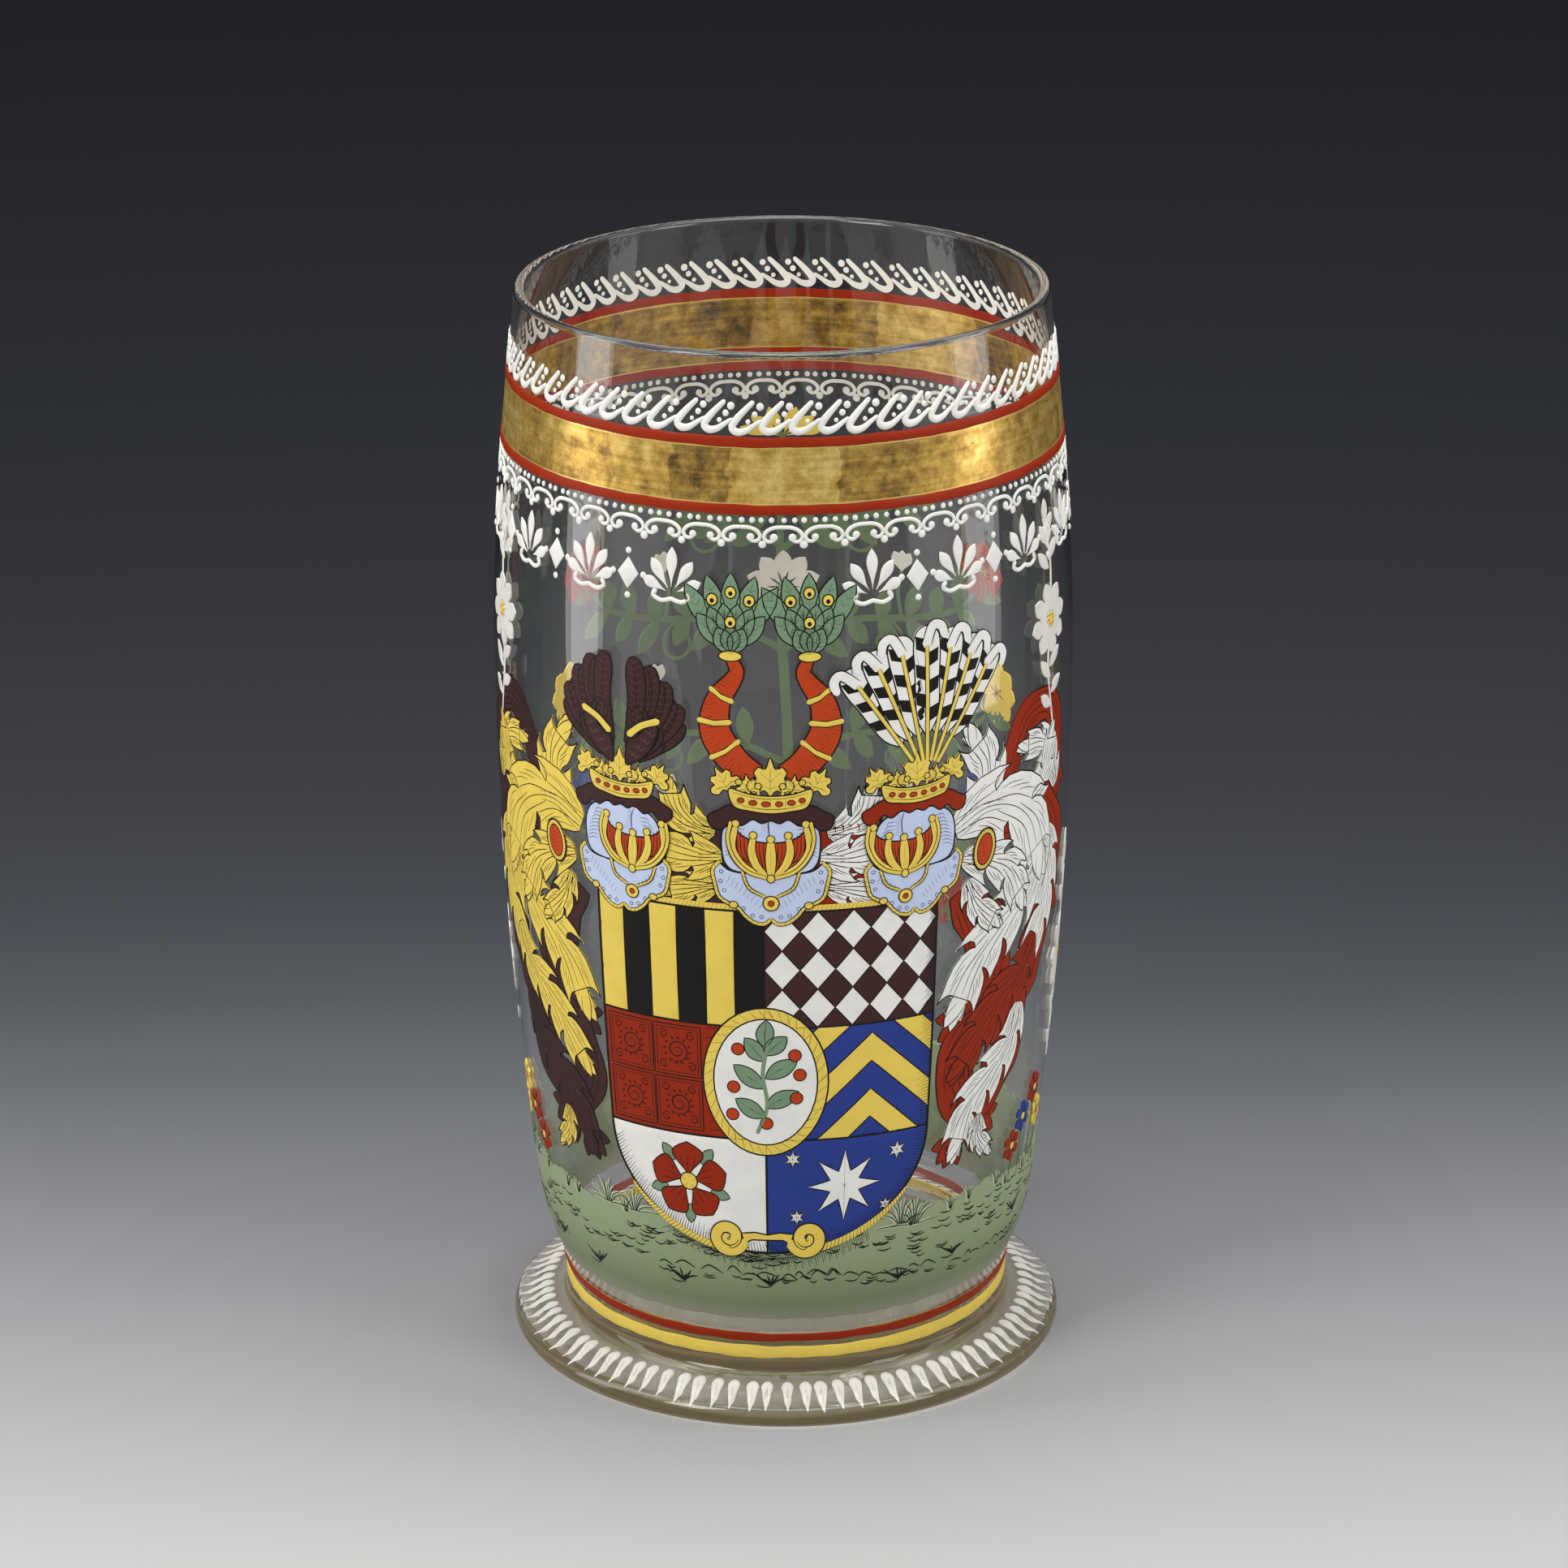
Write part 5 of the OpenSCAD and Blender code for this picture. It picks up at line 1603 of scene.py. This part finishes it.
def meadow():
    """Green enamel with painted shade that deepens it towards the foot, thin along its lower edge."""
    look = Look("ground_enamel")
    where = look.where()
    up = look.calc("MULTIPLY_ADD", look.noise(where, 70, 5), 0.0016, look.axes(where)["Z"])
    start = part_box("ground")[0].z + MEADOW_EDGE
    share = look.calc("DIVIDE", look.calc("SUBTRACT", up, start), MEADOW_SPAN)
    # Painted shade: the ramp darkens the green towards the foot
    look.put(look.shader, {"Base Color": look.ramp(share, toned(MEADOW_PAINTED_SHADE_TONES)), "Roughness": 0.48,
                           "Specular IOR Level": ENAMEL_GLOSS})
    return look.mat


def gilding():
    """Worn leaf gold: leaves of uneven tone, scratches round the glass, flecks, chips, and a painted
    highlight along both edges.
    """
    look = Look("gilding")
    where = look.where()
    x, y, z = look.axes(where)
    patch = look.noise(where, 58, 7, 0.62)
    torn = look.calc("MULTIPLY_ADD", patch, 0.22, look.calc("ARCTAN2", x, y))
    leaves = look.node("TexVoronoi", {"W": torn, "Scale": GOLD_LEAVES}, voronoi_dimensions="1D")["Color"]
    drawn_out = look.node("VectorMath", {0: where, 1: (30, 30, 900)}, operation="MULTIPLY")[0]
    tone = look.calc("MULTIPLY", patch, 0.28)
    for value, share in ((look.node("SeparateColor", {0: leaves})[0], 0.12),
                         (look.noise(where, 240, 7, 0.7), 0.52), (look.noise(drawn_out, 1.0, 4, 0.6), 0.2)):
        tone = look.calc("MULTIPLY_ADD", value, share, tone)
    low, high = (v.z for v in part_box("gilt_band"))
    off_middle = look.calc("ABSOLUTE", look.calc("SUBTRACT", z, (low + high) / 2))
    near_edge = look.calc("DIVIDE", off_middle, (high - low) / 2)
    # Painted highlight: a paler gold near both edges of the band
    rim = look.ramp(near_edge, [(0.93, (0, 0, 0)), (0.96, (0.9, 0.9, 0.9))])
    edged = look.mixed(rim, look.ramp(tone, toned(GOLD_TONES)), GOLD_EDGE_HIGHLIGHT)
    chips = look.ramp(look.noise(where, 460, 8, 0.72), [(0.3, (0.85, 0.85, 0.85)), (0.38, (0, 0, 0))])
    look.put(look.shader, {"Base Color": look.mixed(chips, edged, GOLD_CHIP), "Metallic": 0.72,
                           "Roughness": look.spread(patch, 0.44, 0.28),
                           "Normal": look.bump(patch, 0.3, 0.0002)})
    return look.mat


def underside(look, where):
    """How matt the glass is: a little on the ground hollow under the foot, not at all anywhere else."""
    x, y, z = look.axes(where)
    across = look.calc("MULTIPLY_ADD", y, y, look.calc("MULTIPLY", x, x))
    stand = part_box("foot")[1].x - (EDGE_TOP / 2) * MM
    inner = look.calc("LESS_THAN", across, (stand + 0.0001) ** 2)
    lowest = look.calc("LESS_THAN", z, MATT_TOP)
    return look.calc("MULTIPLY", look.calc("MULTIPLY", inner, lowest), MATT_SHARE)


def clear_glass():
    """Blown soda glass with a faint olive depth and a matt underside. Lamps reach the paint behind it."""
    look = Look("clear_glass")
    where = look.where()
    look.put(look.shader, {"Base Color": (0.985, 0.99, 0.98, 1), "Transmission Weight": 1.0, "IOR": 1.5,
                           "Roughness": 0.0, "Normal": look.bump(look.noise(where, 38, 2), 0.05, 0.001)})
    matt = look.node("BsdfDiffuse", {"Color": (*linear(MATT_TONE), 1)})[0]
    finish = look.node("MixShader", {0: underside(look, where), 1: look.shader.outputs[0], 2: matt})[0]
    shadow = look.node("LightPath", {})["Is Shadow Ray"]
    through = look.node("BsdfTransparent", {"Color": (1, 1, 1, 1)})[0]
    depth = look.node("VolumeAbsorption", {"Color": (0.53, 0.42, 0.14, 1), "Density": 17.0})[0]
    surface = look.node("MixShader", {0: shadow, 1: finish, 2: through})[0]
    look.put(look.out, {"Surface": surface, "Volume": depth})
    return look.mat


def floor_paper():
    """Paper floor painted pale in front and dark grey behind the object, a painted falloff of the studio
    light.
    """
    look = Look("floor_paper")
    y = look.axes(look.node("NewGeometry", {})["Position"])["Y"]
    stops = [((at - FLOOR_NEAR) / (FLOOR_FAR - FLOOR_NEAR), rgb) for at, rgb in FLOOR_FALLOFF_TONES]
    along = look.spread(y, 0.0, 1.0, FLOOR_NEAR, FLOOR_FAR)
    look.put(look.shader, {"Base Color": look.ramp(along, toned(stops)), "Roughness": 0.95,
                           "Specular IOR Level": 0.0})
    return look.mat


# Meshes and pieces

def mesh_object(name, points, faces, mat, sharp=50):
    mesh = bpy.data.meshes.new(name)
    mesh.from_pydata(points, [], faces)
    mesh.update()
    mesh.polygons.foreach_set("use_smooth", [True] * len(mesh.polygons))
    mesh.set_sharp_from_angle(angle=math.radians(sharp))
    mesh.materials.append(mat)
    obj = bpy.data.objects.new(name, mesh)
    bpy.context.scene.collection.objects.link(obj)
    return obj


def vessel_profile():
    """The whole outline of the glass, from under the foot round the rim to the floor inside."""
    rings = rings_of("foot")
    stand = rings[0][1]
    hollow = [(high, z) for z, _, high in rings if z < EDGE_TOP and high <= stand + 0.01]
    edge = [(high, z) for z, _, high in rings
            if z < FOOT_TOP - 0.3 and (z >= EDGE_TOP or high > stand + 0.01)]
    return smooth(hollow[::-1] + [(stand, 0.0)], OUTLINE_STEP) + edge + WALL + bore_outline()


def make_vessel():
    outline = vessel_profile()
    rings = [p for p in outline if p[0] > 0.01]
    points = [(0, 0, outline[0][1] * MM)]
    for r, z in rings:
        points += [(r * MM * math.sin(a), -r * MM * math.cos(a), z * MM) for a in turns(SEGMENTS)]
    last, top = len(points) - SEGMENTS, len(points)
    points.append((0, 0, outline[-1][1] * MM))
    faces = []
    for i in range(SEGMENTS):
        j = (i + 1) % SEGMENTS
        faces += [(0, 1 + j, 1 + i), (last + i, last + j, top)]
    faces += [tuple(1 + i for i in f) for f in ring_faces(len(rings), SEGMENTS)]
    vessel = mesh_object("glass_vessel", points, faces, clear_glass(), 80)
    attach(vessel, "root")
    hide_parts("glass_body", "foot")


def make_coats():
    looks = {name: (enamel(name + "_enamel", rgb), slot)
             for slot, tones in COLOURS.items() for name, rgb in tones.items()}
    looks["ground"] = (meadow(), "ground_green_enamel")
    looks["gilt"] = (gilding(), "gilding")
    for name, (made, colour) in coats.items():
        mat, slot = looks[colour]
        piece = mesh_object(name, [made.to_space(*p) for p in made.points], made.faces, mat)
        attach(piece, "root")
        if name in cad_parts:
            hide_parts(name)


# Stage

FLOOR_HALF = 6.0
FLOOR_Z = -0.0003
# Lamps: place and size in metres, power in watts
LAMPS = {
    "key": ((-0.9, -0.9, 1.25), 0.5, 0.9, 12), "fill": ((1.1, -0.8, 0.9), 0.5, 0.9, 6),
    "top": ((0.1, -0.05, 1.6), 0.9, 0.9, 12), "left_box": ((-0.44, -0.07, 0.27), 0.15, 0.56, 0.72),
    "right_box": ((0.44, -0.07, 0.27), 0.15, 0.56, 0.5),
}
LAMPS_AIM = Vector((0, 0, 0.12))
# The photograph's view: a square picture, the lens in its pixels, place in metres, angles in degrees
PICTURE_PX = 1932
LENS_PX = 6705
SENSOR = 36.0
CAMERA_AT = (0.0, -1.2102, 0.5842)
CAMERA_DOWN = 20.278
CAMERA_ROLL = -0.225


def place_object(name, data, at, turn):
    obj = bpy.data.objects.new(name, data)
    obj.location = at
    obj.rotation_mode = "QUATERNION"
    obj.rotation_quaternion = turn
    bpy.context.scene.collection.objects.link(obj)
    return obj


def make_stage():
    """The floor, the even light of the room and the studio lamps."""
    flat = corners(-FLOOR_HALF, -FLOOR_HALF, FLOOR_HALF, FLOOR_HALF)
    floor = mesh_object("floor", [(x, y, FLOOR_Z) for x, y in flat], [(0, 1, 2, 3)], floor_paper())
    world = bpy.data.worlds.new("studio")
    world.use_nodes = True
    room = world.node_tree.nodes["Background"]
    room.inputs["Color"].default_value = (0.55, 0.57, 0.60, 1)
    room.inputs["Strength"].default_value = 0.55
    bpy.context.scene.world = world
    for name, (at, wide, tall, power) in LAMPS.items():
        lamp = bpy.data.lights.new(name, "AREA")
        lamp.shape = "RECTANGLE"
        lamp.size, lamp.size_y, lamp.energy = wide, tall, power
        place_object(name, lamp, at, (LAMPS_AIM - Vector(at)).to_track_quat("-Z", "Y"))


def make_camera():
    """The photograph's view, fitted to the beaker's own outline."""
    cam = bpy.data.cameras.new("camera")
    cam.sensor_width = SENSOR
    cam.lens = SENSOR * LENS_PX / PICTURE_PX
    cam.clip_start, cam.clip_end = 0.05, 20
    pitch = Quaternion((1, 0, 0), math.radians(90 - CAMERA_DOWN))
    roll = Quaternion((0, 0, 1), math.radians(CAMERA_ROLL))
    bpy.context.scene.camera = place_object("camera", cam, CAMERA_AT, pitch @ roll)


make_camera()
make_stage()
make_vessel()
paint_wave_border()
paint_bead_row()
paint_lace()
paint_frieze()
paint_bands()
paint_ground()
paint_sprays()
paint_tree()
paint_mantling()
paint_stripes()
paint_lozenges()
paint_diaper()
paint_chevrons()
paint_rose()
paint_star()
paint_heart()
paint_shield_edges()
paint_scroll()
paint_wings()
paint_horns()
paint_sprigs()
paint_feathers()
for helm_side, (helm_x, helm_size, helm_look) in HELMS.items():
    paint_helm(helm_side, helm_x, helm_size, helm_look)
    paint_crown(helm_side, helm_x, helm_size)
paint_foot()
make_coats()

bpy.context.scene.view_settings.view_transform = "Standard"
